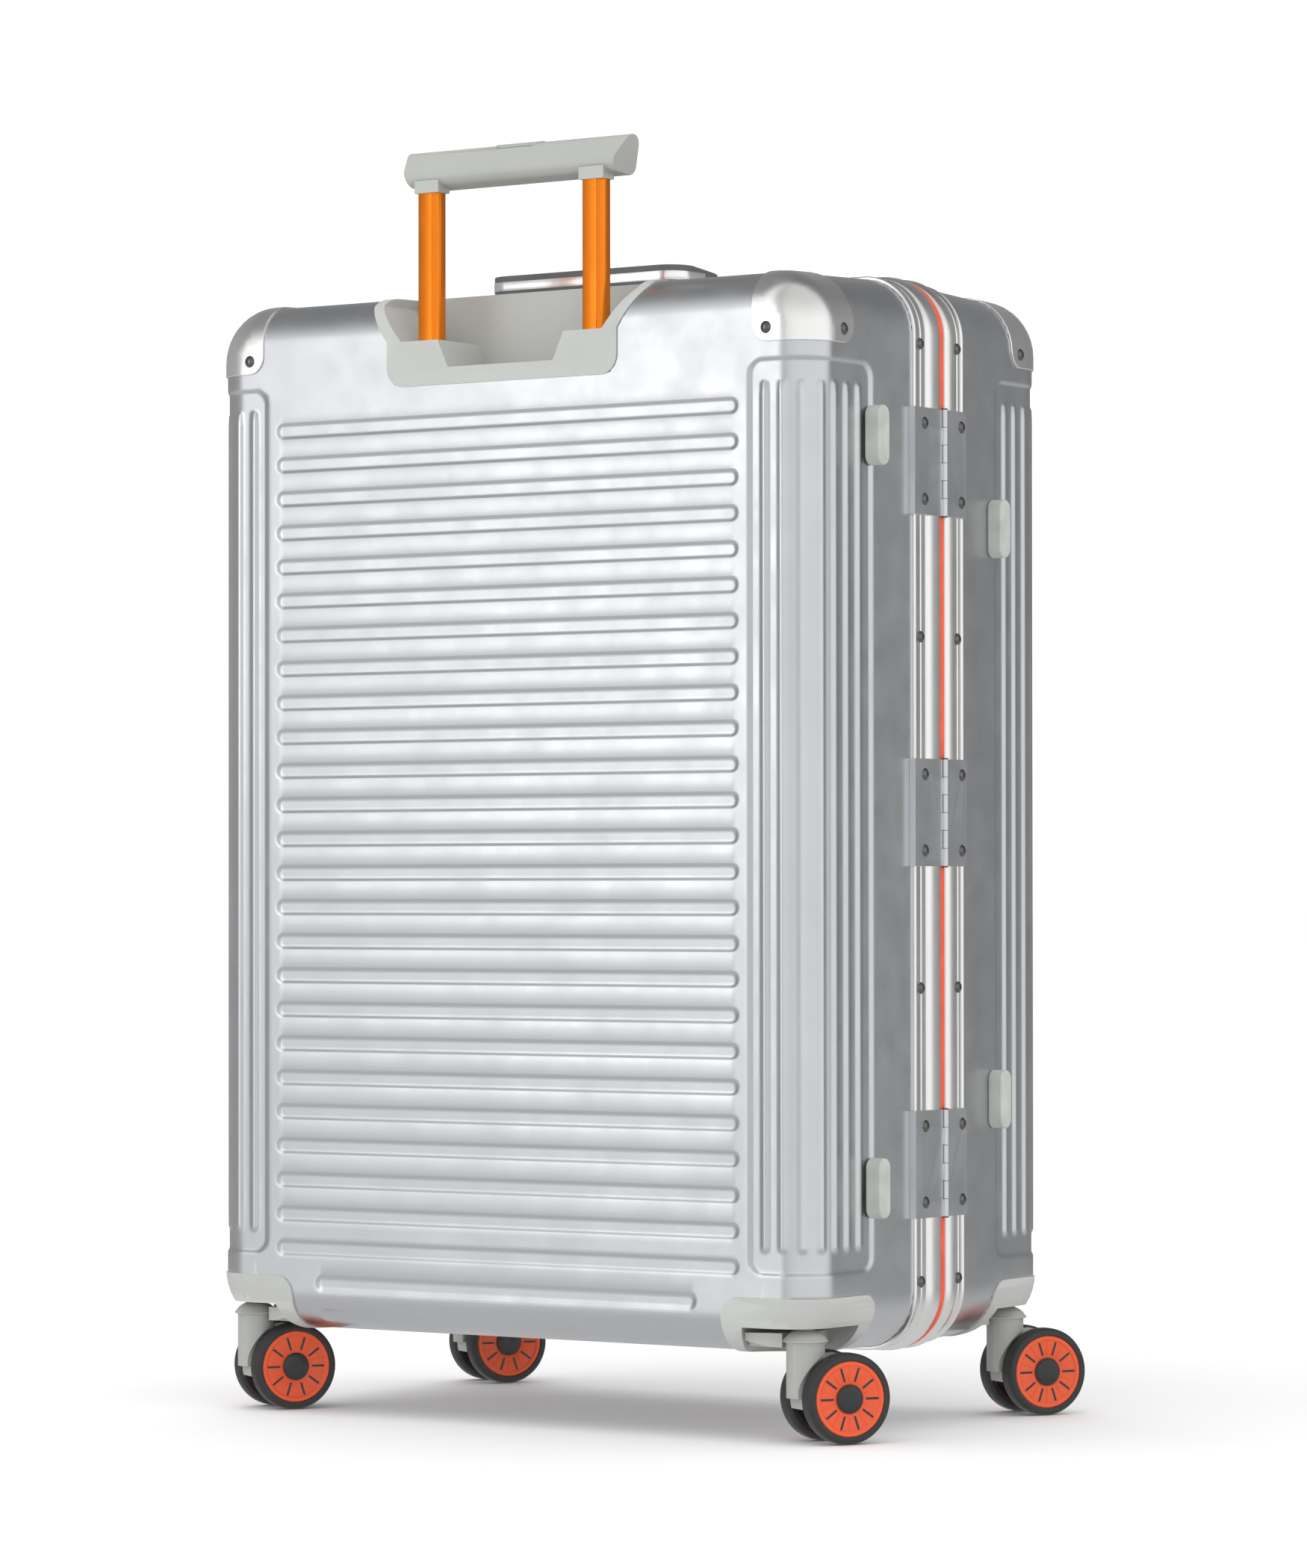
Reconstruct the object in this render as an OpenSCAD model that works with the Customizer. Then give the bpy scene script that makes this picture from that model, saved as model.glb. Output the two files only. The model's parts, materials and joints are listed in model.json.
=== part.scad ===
// Hard shell suitcase: two ribbed aluminium shells in aluminium frames, hinged along one long
// side, with a telescopic pull handle, two carry handles, two latches and four twin casters.
// X points to the hinge side, the pull handle is on the -Y face and Z = 0 is the floor.

/* [Case] */
// Width over the shells
case_w = 496; // [400:1:600]
// Height of the shells
case_h = 703; // [580:1:850]
// Height of the shells' underside above the floor
ground_clearance = 55; // [54:1:62]
// Depth of the rear shell, from the parting line to its large face
rear_depth = 150; // [125:1:190]
// Depth of the front shell, from the parting line to its large face
front_depth = 145; // [120:1:190]
// Place of the parting line, which puts the origin under the middle of the whole
seam_y = -12.5; // [-30:0.5:10]
// Sheet thickness of the shells
shell_wall = 1.2; // [0.8:0.1:2]
// Radius of the case corners, seen from the front
corner_r = 38; // [34:1:50]
// Radius of the edges round the two large faces
edge_r = 27; // [18:1:30]
// How far each side leans in from the frame to the large face
draft = 3; // [0:0.5:6]

/* [Pressed grooves] */
// Number of grooves on each large face
groove_count = 25; // [10:1:30]
// Height of a groove
groove_h = 10.6; // [6:0.1:13]
// Depth of a groove
groove_depth = 1.1; // [0.5:0.1:2]
// Distance from the shell's side to a groove's end
groove_margin = 60; // [50:1:90]
// Distance from the shell's top to the middle of the first groove
groove_top = 90; // [85:1:120]
// Distance from the shell's underside to the middle of the last groove
groove_bottom = 58; // [50:1:90]

/* [Frame] */
// Length of the rear frame, measured back from the parting line
rear_frame_len = 32.7; // [26:0.1:40]
// Length of the rear frame's thick bead, measured back from the parting line
rear_bead_len = 17.5; // [14:0.1:20]
// Length of the front frame, measured forward from the parting line
front_frame_len = 28.6; // [24:0.1:40]
// Length of the front frame's thick lip, measured forward from the parting line
front_lip_len = 14.9; // [12:0.1:17]
// Half of the gap between the frames, which the seal fills
seal_half = 3; // [2.8:0.1:4]
// Height of the frame's thick bead above the shell
bead_h = 3; // [2.5:0.1:4]
// Height of the frame's thin band above the shell
band_h = 1.4; // [0.8:0.1:2]
// How far the frame reaches inside the shell
frame_inner = 4; // [3:0.5:8]

/* [Rivets] */
// Diameter of a rivet head
rivet_head_d = 6.6; // [4:0.1:8]
// Height of a rivet head
rivet_head_h = 1.3; // [0.8:0.1:1.4]
// Diameter of a rivet shank
rivet_d = 3.2; // [2:0.1:4]
// Distance of the rear rivet row from the parting line
rear_rivet_row = 24.2; // [21:0.1:28]
// Distance of the front rivet row from the parting line
front_rivet_row = 21.9; // [18:0.1:24]
// Distance of the corner rivets from the case's top and underside
rivet_end = 44; // [40:0.5:60]
// Distance of the middle rivets from the middle of the case's height
rivet_near_z = 115.2; // [90:0.1:116]
// Distance of the rivets on top and below from the case's sides
rivet_side = 63; // [50:1:80]

/* [Hinges] */
// Height of one hinge
hinge_h = 70.5; // [50:0.5:80]
// Distance of the outer hinges' middles from the case's top and underside
hinge_end = 121; // [100:0.5:125]
// Width of the rear leaf, from the pin
rear_leaf_w = 36.8; // [34:0.1:45]
// Width of the front leaf, from the pin
front_leaf_w = 27.3; // [26:0.1:35]
// Height of a leaf's face above the shell
leaf_h = 4.4; // [4:0.1:6]
// Diameter of the hinge pin
hinge_pin_d = 2.8; // [2:0.1:3]
// Diameter of the barrel round the pin
barrel_d = 4.8; // [4.6:0.1:5]
// Distance from a hinge's middle to its rivets
leaf_rivet_z = 25; // [15:0.5:25]

/* [Corner caps and feet] */
// Length of a cap along each edge
cap_reach = 48.5; // [44:0.5:60]
// Height of a cap, down from the shell's top
cap_h = 50; // [48:1:60]
// Thickness of a cap
cap_t = 1.2; // [0.8:0.1:2]
// Radius of a cap's free corners
cap_r = 12; // [6:1:18]
// Distance of a cap's rivets from the case's outer edges
cap_rivet_inset = 37; // [34:0.5:42]
// Distance of a cap's rivets below the shell's top
cap_rivet_drop = 41; // [32:0.5:42]
// Width of a side foot
foot_w = 13; // [12:1:30]
// Height of a side foot
foot_l = 39; // [30:1:50]
// Height of a side foot's face above the shell
foot_h = 9.5; // [8:0.5:12]
// Radius of a side foot's corners
foot_r = 6.4; // [4:0.1:12]
// Distance of the rear feet from the parting line
rear_foot_y = 82; // [65:1:90]
// Distance of the front feet from the parting line
front_foot_y = 70; // [60:1:90]
// Distance of the rear feet from the case's top and underside
rear_foot_end = 107.8; // [100:0.1:140]
// Distance of the front feet from the case's top and underside
front_foot_end = 160.8; // [140:0.1:180]

/* [Pull handle] */
// Half width of the handle cup at its foot
cup_half_w = 94; // [90:1:105]
// Half width of the handle cup at its top
cup_top_half_w = 112; // [108:1:130]
// Depth of the handle cup's flange over the shell's top
cup_depth = 54; // [52:1:65]
// Distance from the shell's top to the cup's lower edge
cup_drop = 64.7; // [62:0.1:80]
// Distance from the shell's top to the shelf that the tubes come out of
shelf_drop = 34.5; // [33:0.5:36]
// Distance from the shell's top to the bottom of the finger notch
notch_drop = 53.2; // [48:0.1:56]
// Half width of the finger notch
notch_half_w = 43; // [30:1:44]
// Distance of each tube from the middle
tube_x = 67.4; // [64:0.1:70]
// Distance of the tubes' middle from the rear face
tube_inset = 14.5; // [14:0.5:16]
// Width of an inner tube
tube_w = 17; // [14:0.5:17]
// Thickness of an inner tube
tube_t = 10; // [8:0.5:10]
// Sheet of the middle and guide tubes at their sides
tube_wall = 0.8; // [0.6:0.1:1]
// Gap all round between one tube and the next
tube_gap = 0.2; // [0.15:0.05:0.3]
// Height of the grip's underside above the shell's top
grip_rise = 69; // [67:1:90]
// Height of the grip
grip_h = 26; // [22:1:26]
// Half length of the grip at its top
grip_half_l = 91; // [88:1:92]
// Length of the push button
button_l = 38; // [24:1:50]
// Width of the push button
button_w = 12; // [8:1:14]

/* [Carry handles] */
// Half length of a carry handle
bail_half_l = 79; // [70:1:90]
// Distance from the parting line to the back of a carry handle
bail_reach = 58.7; // [52:0.1:75]
// Depth of a carry handle's bar
bail_bar = 16; // [12:1:20]
// Thickness of a carry handle's legs
bail_leg = 8; // [6:1:10]
// Distance from the parting line to a carry handle's pivot
bail_pivot_y = 12.3; // [9:0.1:12.3]
// Height of a carry handle's pivot above the bead
bail_pivot_h = 6; // [6:0.5:8]
// Diameter of a carry handle's pivot pin
bail_pin_d = 5; // [4:0.5:5]

/* [Latches] */
// Distance of each latch from the case's top and underside
latch_end = 151.5; // [120:0.5:170]
// Height of a latch plate
latch_h = 56; // [44:1:70]
// Height of a latch lever
lever_h = 34; // [24:1:40]

/* [Casters] */
// Diameter of a wheel with its tyre
wheel_d = 59; // [54:0.5:60]
// Width of a wheel
wheel_w = 13.5; // [11:0.5:14]
// Distance between the middles of twin wheels
wheel_pair = 32; // [32:0.5:36]
// Diameter of a wheel's disc, inside its tyre
disc_d = 49; // [40:0.5:50]
// Distance from the swivel axis to the axle
trail = 21; // [18:0.5:24]
// Direction in which the axles trail, measured from X
heading = 59.2; // [0:0.1:360]
// Distance of the swivel axes from the case's sides and faces
stem_inset = 23.2; // [22:0.1:26]
// Length of a caster housing along each edge
housing_reach = 73; // [71:1:80]
// Height of a caster housing
housing_h = 39; // [36:1:45]
// Radius of a caster housing's ends
housing_r = 13; // [6:1:18]
// Radius of the pocket that the caster turns in
pocket_r = 41; // [38:1:42]
// Height of the pocket's ceiling above the shells' underside
pocket_h = 19.5; // [18.5:0.5:22]
// Diameter of the swivel pin
pin_d = 10; // [8:0.5:12]
// Diameter of the axle
axle_d = 6; // [4:0.5:8]

/* [Fits] */
// Radial clearance of turning fits
run_gap = 0.05; // [0.03:0.01:0.1]
// Clearance round fixed pieces that are set into others
set_gap = 0.2; // [0.1:0.05:0.4]

/* [Hidden] */
$fn = 48;

REAR = -1;
FRONT = 1;
half_w = case_w / 2;
half_h = case_h / 2;
mid_z = ground_clearance + half_h;
top_z = mid_z + half_h;
rivet_far_z = half_h - rivet_end;
rivet_x = half_w - rivet_side;
hinge_spacing = half_h - hinge_end;
latch_z = half_h - latch_end;
housing_top = ground_clearance + housing_h;
// How far the set-in pieces lap over the shell round their holes
flange = 6;
cup_flange = 3;
rear_y = seam_y - rear_depth;
front_y = seam_y + front_depth;
// Longer than any cut needs to be
far = 2 * case_h;
corner_steps = 10;
eps = 0.01;
lip_gap = 0.1;
// How far the shells' edges stop short of the frames' thick parts
edge_gap = 1;

function face_y(side) = side == REAR ? rear_y : front_y;
function frame_len(side) = side == REAR ? rear_frame_len : front_frame_len;
function bead_len(side) = side == REAR ? rear_bead_len : front_lip_len;
function rivet_row(side) = seam_y + side * (side == REAR ? rear_rivet_row : front_rivet_row);
function depth(side) = side == REAR ? rear_depth : front_depth;

// Outline of a rectangle with round corners, centred on the origin
function rounded_points(w, h, r, steps = corner_steps) = [
    for (q = [0:3], i = [0:steps])
        let (a = 90 * (q + i / steps))
        let (sx = (q == 0 || q == 3) ? 1 : -1)
        let (sy = q < 2 ? 1 : -1)
        [sx * (w / 2 - r) + r * cos(a), sy * (h / 2 - r) + r * sin(a)]
];

// A slab from y0 to y1 whose outline is drawn in X and Z
module slab_y(y0, y1) {
    translate([0, y1, 0]) rotate([90, 0, 0]) linear_extrude(y1 - y0) children();
}

// A slab from x0 to x1 whose outline is drawn in Y and Z
module slab_x(x0, x1) {
    translate([x0, 0, 0]) rotate([90, 0, 90]) linear_extrude(x1 - x0) children();
}

module slab_z(z0, z1) {
    translate([0, 0, z0]) linear_extrude(z1 - z0) children();
}

// The case outline, grown by g
module outline(g = 0) {
    translate([0, mid_z]) polygon(rounded_points(case_w + 2 * g, case_h + 2 * g, corner_r + g));
}

module ring(y0, y1, outer, inner) {
    slab_y(y0, y1) difference() {
        outline(outer);
        outline(inner);
    }
}

// Solid form of a case half, grown by g, its face set in by inset and its open side extended
module half_form(side, g = 0, inset = 0, extend = 0) {
    y_edge = seam_y + side * (bead_len(side) + edge_gap - extend);
    y_straight = seam_y + side * (frame_len(side) + 0.3);
    y_bend = seam_y + side * (depth(side) - inset - edge_r);
    bend = edge_r + g;
    flat = corner_r - edge_r;
    hull() {
        slab_y(min(y_edge, y_straight), max(y_edge, y_straight)) outline(g);
        for (x = [-1, 1], z = [-1, 1])
            translate([x * (half_w - draft - corner_r), y_bend, mid_z + z * (half_h - draft - corner_r)])
                rotate([-90 * side, 0, 0])
                    rotate_extrude($fn = 40)
                        polygon(concat(
                            [[0, 0]],
                            [for (i = [0:10]) [flat + bend * cos(9 * i), bend * sin(9 * i)]],
                            [[0, bend]]
                        ));
    }
}

// A skin of thickness t over the outside of a case half
module skin(side, t) {
    difference() {
        half_form(side, t);
        half_form(side, 0, 0, 2 * edge_gap);
    }
}

// The corner of a case half within reach of the side and the face, and past z on the sz side
module corner_region(sx, side, reach, z, sz, r) {
    size = reach + 60;
    intersection() {
        slab_y(-far, far)
            translate([sx * (half_w - reach + size / 2), z + sz * size / 2])
                polygon(rounded_points(size, size, r));
        slab_x(-far, far)
            translate([face_y(side) - side * (reach - size / 2), z + sz * size / 2])
                polygon(rounded_points(size, size, r));
    }
}

// ---- Shells and linings ----

module grooves(grow) {
    pitch = (case_h - groove_top - groove_bottom) / (groove_count - 1);
    for (i = [0:groove_count - 1])
        translate([0, top_z - groove_top - i * pitch])
            polygon(rounded_points(
                case_w - 2 * groove_margin + 2 * grow, groove_h + 2 * grow, groove_h / 2 + grow - eps, 3
            ));
}

module shell_half(side) {
    out = face_y(side);
    deep = out - side * groove_depth;
    pressed = deep - side * shell_wall;
    difference() {
        half_form(side);
        difference() {
            half_form(side, -shell_wall, 0, 2 * edge_gap);
            slab_y(min(pressed, out), max(pressed, out)) grooves(shell_wall);
        }
        slab_y(min(deep, out + side), max(deep, out + side)) grooves(0);
        for (sx = [-1, 1])
            corner_region(sx, side, housing_reach - flange, housing_top - flange, -1, housing_r - flange / 2);
    }
}

module rear_shell() {
    color("silver") difference() {
        shell_half(REAR);
        cup_region(cup_flange);
    }
}

module front_shell() {
    color("silver") shell_half(FRONT);
}

lining_gap = 0.6;
lining_t = 2;
lining_inset = 25;
notch_room = 4;

// What the lining steps round: the handle cup and the caster housings
module lining_steps(side, grow) {
    if (side == REAR)
        translate([-cup_top_half_w - notch_room - grow, rear_y - eps, top_z - cup_drop - notch_room - grow])
            cube([2 * (cup_top_half_w + notch_room + grow), cup_depth + notch_room + grow, far]);
    for (sx = [-1, 1])
        corner_region(sx, side, housing_reach + grow, boss_top + notch_room + grow, -1, eps);
}

module lining(side) {
    out = shell_wall + lining_gap;
    inset = side == REAR ? lining_inset : groove_depth + lining_gap;
    difference() {
        difference() {
            half_form(side, -out, inset, 0);
            lining_steps(side, 0);
        }
        difference() {
            half_form(side, -out - lining_t, inset, 2 * edge_gap);
            lining_steps(side, lining_t);
        }
    }
}

module rear_lining() {
    color("dimgray") lining(REAR);
}

module front_lining() {
    color("dimgray") lining(FRONT);
}

strap_w = 25;
strap_t = 1.2;

module packing_straps() {
    lean = 34;
    color("black") intersection() {
        half_form(REAR, -shell_wall - lining_gap - lining_t - set_gap, lining_inset, 0);
        for (a = [-lean, lean])
            translate([0, seam_y - rear_bead_len - 8, mid_z])
                rotate([0, a, 0])
                    cube([strap_w, strap_t, far], center = true);
    }
}

// ---- Frames and seal ----

// Carries out its children, which point along +Z, at each rivet of one frame
module at_frame_rivets(side) {
    for (sx = [-1, 1], z = [-rivet_far_z, -rivet_near_z, rivet_near_z, rivet_far_z])
        translate([sx * (half_w + band_h), rivet_row(side), mid_z + z]) rotate([0, 90 * sx, 0]) children();
    for (sz = [0, 1], x = [-rivet_x, rivet_x])
        translate([x, rivet_row(side), mid_z + (1 - 2 * sz) * (half_h + band_h)])
            rotate([180 * sz, 0, 0])
                children();
}

module rivet_hole(deep) {
    translate([0, 0, -deep]) cylinder(d = rivet_d + 2 * run_gap, h = deep + 1);
}

module rivet(deep) {
    cylinder(d1 = rivet_head_d, d2 = rivet_head_d / 2, h = rivet_head_h);
    translate([0, 0, -deep]) cylinder(d = rivet_d, h = deep + eps);
}

module rear_frame() {
    color("gainsboro") difference() {
        union() {
            ring(seam_y - rear_bead_len, seam_y - seal_half, bead_h, -frame_inner);
            ring(seam_y - rear_frame_len, seam_y - rear_bead_len, band_h, 0);
        }
        at_frame_rivets(REAR) rivet_hole(band_h - eps);
    }
}

module front_frame() {
    tongue_end = seal_half + 2;
    color("gainsboro") difference() {
        union() {
            ring(seam_y + tongue_end, seam_y + front_lip_len, bead_h, -frame_inner);
            ring(seam_y + seal_half + lip_gap, seam_y + tongue_end, bead_h / 3, -frame_inner);
            ring(seam_y + front_lip_len, seam_y + front_frame_len, band_h, 0);
        }
        at_frame_rivets(FRONT) rivet_hole(band_h - eps);
    }
}

module frame_seal() {
    color("orangered") ring(seam_y - seal_half, seam_y + seal_half, bead_h * 2 / 3, -frame_inner / 2);
}

// ---- Hinges ----

hinge_zs = [for (i = [-1:1]) mid_z + i * hinge_spacing];
barrel_x = half_w + leaf_h + 0.2;
knuckle_count = 6;
knuckle_h = hinge_h / knuckle_count;
knuckle_gap = 0.15;
leaf_gap = 0.3;

module at_leaf_rivets(side) {
    for (z = hinge_zs, dz = [-leaf_rivet_z, leaf_rivet_z])
        translate([half_w + leaf_h, rivet_row(side), z + dz]) rotate([0, 90, 0]) children();
}

function leaf_reach(side) = side == REAR ? rear_leaf_w : front_leaf_w;
// A leaf that reaches past the frame folds down onto the shell
function leaf_folds(side) = leaf_reach(side) > frame_len(side) + 2 * leaf_gap;

// One leaf with its knuckles, its foot at Z = 0; the rear leaf has the even knuckles
module hinge_leaf(side) {
    bead_y = seam_y + side * bead_len(side);
    edge_y = seam_y + side * leaf_reach(side);
    fold_y = seam_y + side * (frame_len(side) + leaf_gap);
    face_x = half_w + leaf_h;
    own = side == REAR ? 0 : 1;
    outer_end = leaf_folds(side)
        ? [[half_w - draft, edge_y], [half_w - draft, fold_y], [half_w + band_h, fold_y]]
        : [[half_w + band_h, edge_y]];
    difference() {
        union() {
            linear_extrude(hinge_h) polygon(concat(
                [
                    [half_w + band_h, bead_y],
                    [half_w + bead_h, bead_y],
                    [half_w + bead_h, seam_y],
                    [face_x, seam_y],
                    [face_x, edge_y]
                ],
                outer_end
            ));
            for (k = [own:2:knuckle_count - 1])
                translate([barrel_x, seam_y, k * knuckle_h + knuckle_gap])
                    cylinder(d = barrel_d, h = knuckle_h - 2 * knuckle_gap);
        }
        for (k = [1 - own:2:knuckle_count - 1])
            translate([half_w, seam_y - barrel_d / 2 - 0.4, k * knuckle_h - knuckle_gap])
                cube([20, barrel_d + 0.8, knuckle_h + 2 * knuckle_gap]);
        translate([barrel_x, seam_y, -1]) cylinder(d = hinge_pin_d + 2 * run_gap, h = hinge_h + 2);
    }
}

module hinge_leaves(side) {
    color("gainsboro") difference() {
        for (z = hinge_zs) translate([0, 0, z - hinge_h / 2]) hinge_leaf(side);
        at_leaf_rivets(side) rivet_hole(leaf_h - band_h);
        if (leaf_folds(side)) half_form(side);
    }
}

module rear_hinge_leaves() {
    hinge_leaves(REAR);
}

module front_hinge_leaves() {
    hinge_leaves(FRONT);
}

module hinge_pins() {
    head_h = 0.8;
    color("gray") for (z = hinge_zs)
        translate([barrel_x, seam_y, z - hinge_h / 2]) {
            translate([0, 0, -head_h]) cylinder(d = barrel_d - 0.6, h = head_h);
            cylinder(d = hinge_pin_d, h = hinge_h);
            translate([0, 0, hinge_h]) cylinder(d = barrel_d - 0.6, h = head_h);
        }
}

// ---- Corner caps, rivets and side feet ----

// How far the drafted side lies inside the case's width at the cap rivets, and its slope there
function cap_lean(side) = draft * (depth(side) - cap_rivet_inset - frame_len(side))
    / (depth(side) - edge_r - frame_len(side));
function cap_slope(side) = atan(draft / (depth(side) - edge_r - frame_len(side)));

module at_cap_rivets(side, t) {
    z = top_z - cap_rivet_drop;
    for (sx = [-1, 1]) {
        translate([sx * (half_w - cap_rivet_inset), face_y(side) + side * t, z])
            rotate([-90 * side, 0, 0])
                children();
        translate([sx * (half_w - cap_lean(side) + t), face_y(side) - side * cap_rivet_inset, z])
            rotate([0, 90 * sx, sx * side * cap_slope(side)])
                children();
    }
}

module corner_caps(side) {
    color("gainsboro") difference() {
        intersection() {
            skin(side, cap_t);
            for (sx = [-1, 1])
                corner_region(sx, side, cap_reach, top_z - cap_h, 1, cap_r);
        }
        at_cap_rivets(side, cap_t) rivet_hole(cap_t + 1);
    }
}

module rear_corner_caps() {
    corner_caps(REAR);
}

module front_corner_caps() {
    corner_caps(FRONT);
}

// All rivets of one case half
module rivets(side) {
    color("dimgray") {
        at_frame_rivets(side) rivet(band_h - 2 * eps);
        at_leaf_rivets(side) rivet(leaf_h - band_h - 2 * eps);
        at_cap_rivets(side, cap_t) rivet(cap_t * 2 / 3);
    }
}

module rear_rivets() {
    rivets(REAR);
}

module front_rivets() {
    rivets(FRONT);
}

module side_feet(side, y, z) {
    color("lightgray") difference() {
        for (dz = [-z, z])
            slab_x(half_w - 2 * draft, half_w + foot_h)
                translate([seam_y + side * y, mid_z + dz])
                    polygon(rounded_points(foot_w, foot_l, min(foot_r, foot_w / 2 - eps)));
        half_form(side);
    }
}

module rear_side_feet() {
    side_feet(REAR, rear_foot_y, half_h - rear_foot_end);
}

module front_side_feet() {
    side_feet(FRONT, front_foot_y, half_h - front_foot_end);
}

// ---- Pull handle ----

cup_r = 13;
cup_flare_z = top_z - 8;
cup_skin = 1;
tube_y = rear_y + tube_inset;
shelf_z = top_z - shelf_drop;
notch_z = top_z - notch_drop;
tub_floor_z = top_z - cup_drop + cup_flange + set_gap;
grip_z = top_z + grip_rise;

// The region of the handle cup, drawn in by e on every side
module cup_region(e) {
    foot_z = top_z - cup_drop;
    turn = [for (i = [0:6]) 15 * i];
    right = [for (a = turn) [
        cup_half_w - cup_r + (cup_r - e) * sin(a),
        foot_z + cup_r - (cup_r - e) * cos(a)
    ]];
    upper = [[cup_half_w - e, shelf_z], [cup_top_half_w - e, cup_flare_z], [cup_top_half_w - e, far]];
    edge = concat(right, upper);
    plan_h = 2 * (cup_depth - e);
    intersection() {
        slab_y(rear_y - far / 2, rear_y + far / 2)
            polygon(concat(edge, [for (i = [len(edge) - 1:-1:0]) [-edge[i].x, edge[i].y]]));
        slab_z(0, far)
            translate([0, rear_y])
                polygon(rounded_points(2 * (cup_top_half_w - e), plan_h, cup_r - e));
    }
}

// What is open above the cup's shelf and finger notch, seen from behind
module cup_cavity() {
    wall = 8;
    edge = [
        [notch_half_w, notch_z],
        [notch_half_w + 8.5, shelf_z],
        [cup_half_w - 12, shelf_z],
        [cup_top_half_w - wall, cup_flare_z],
        [cup_top_half_w - wall, far]
    ];
    slab_y(rear_y - far / 2, rear_y + cup_depth - 6.5)
        polygon(concat(edge, [for (i = [len(edge) - 1:-1:0]) [-edge[i].x, edge[i].y]]));
}

// A square bar of size [w, t] at each tube's place, from z0 to z1
module at_tubes(w, t, z0, z1) {
    for (sx = [-1, 1])
        translate([sx * tube_x - w / 2, tube_y - t / 2, z0]) cube([w, t, z1 - z0]);
}

middle_w = tube_w + 2 * (tube_gap + tube_wall);
middle_t = tube_t + 2 * (tube_gap + tube_wall);
guide_w = middle_w + 2 * (tube_gap + tube_wall);
guide_t = middle_t + 2 * (tube_gap + tube_wall);
guide_foot_z = ground_clearance + 37;
guide_top_z = shelf_z - 6;
tube_room = 6;
grip_travel = 97;
tube_socket = 5;

module handle_cup() {
    color("lightgray") difference() {
        union() {
            intersection() {
                skin(REAR, cup_skin);
                cup_region(0);
            }
            intersection() {
                half_form(REAR, cup_skin / 2);
                cup_region(cup_flange + set_gap);
            }
        }
        cup_cavity();
        at_tubes(guide_w + 2 * set_gap, guide_t + 2 * set_gap, tub_floor_z - 10, guide_top_z + set_gap);
        at_tubes(middle_w + 2 * tube_gap, middle_t + 2 * tube_gap, tub_floor_z, far);
    }
}

module guide_tubes() {
    color("gray") difference() {
        at_tubes(guide_w, guide_t, guide_foot_z, guide_top_z);
        at_tubes(middle_w + 2 * tube_gap, middle_t + 2 * tube_gap, guide_foot_z - 1, guide_top_z + 1);
    }
}

module tube_bracket() {
    color("gray") difference() {
        intersection() {
            half_form(REAR, -shell_wall);
            translate([-tube_x - guide_w, rear_y, guide_foot_z - 14])
                cube([2 * (tube_x + guide_w), tube_inset + guide_t / 2 + 1, 14 + tube_room]);
        }
        at_tubes(guide_w, guide_t, guide_foot_z, far);
    }
}

module middle_tubes() {
    foot = guide_foot_z + tube_room;
    color("darkorange") difference() {
        at_tubes(middle_w, middle_t, foot, shelf_z);
        at_tubes(tube_w + 2 * tube_gap, tube_t + 2 * tube_gap, foot - 1, shelf_z + 1);
    }
}

module inner_tubes() {
    foot = guide_foot_z + 2 * tube_room + grip_travel;
    color("darkorange") at_tubes(tube_w, tube_t, foot, grip_z + tube_socket);
}

// Section of the grip: a crest to the front, a round belly to the back
module grip_form(lift = 0) {
    crest_r = 9;
    belly_r = 7.5;
    nose_r = 5;
    intersection() {
        hull() {
            for (p = [
                [tube_inset + 14 - crest_r / 2, grip_h - crest_r, crest_r],
                [8 + belly_r, grip_h / 3, belly_r],
                [tube_inset + 16, nose_r, nose_r]
            ])
                translate([-far / 2, rear_y + p[0], grip_z + p[1] + lift])
                    rotate([0, 90, 0])
                        cylinder(r = p[2], h = far, $fn = 32);
        }
        slab_y(-far, far) polygon([
            [-grip_half_l, grip_z + grip_h + 9],
            [-grip_half_l, grip_z + grip_h],
            [8 - grip_half_l, grip_z - 1],
            [grip_half_l - 8, grip_z - 1],
            [grip_half_l, grip_z + grip_h],
            [grip_half_l, grip_z + grip_h + 9]
        ]);
    }
}

button_y = rear_y + tube_inset + 9.5;
button_travel = 3;

module button_outline(grow) {
    translate([0, button_y])
        polygon(rounded_points(button_l + 2 * grow, button_w + 2 * grow, button_w / 2 + grow - eps));
}

module handle_grip() {
    collar_h = 3.5;
    collar_w = 1.5;
    color("lightgray") difference() {
        union() {
            grip_form();
            at_tubes(tube_w + 2 * collar_w, tube_t + 2 * collar_w, grip_z - collar_h, grip_z + tube_socket);
        }
        at_tubes(tube_w, tube_t, grip_z - collar_h - 1, grip_z + tube_socket);
        slab_z(grip_z + grip_h / 2 - button_travel - 1, far) button_outline(0.3);
    }
}

module grip_button() {
    color("darkgray") intersection() {
        grip_form(0.7);
        slab_z(grip_z + grip_h / 2, far) button_outline(0);
    }
}

// ---- Carry handles ----

// Places children, drawn on the top bead, on the top or on the latch side
module on_top() {
    translate([0, seam_y, top_z + bead_h]) children();
}

module on_latch_side() {
    translate([-half_w - bead_h, seam_y, mid_z]) rotate([0, -90, 0]) children();
}

bail_eye_r = 5;
bail_top = 13.7;
bail_under = -1.2;

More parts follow.
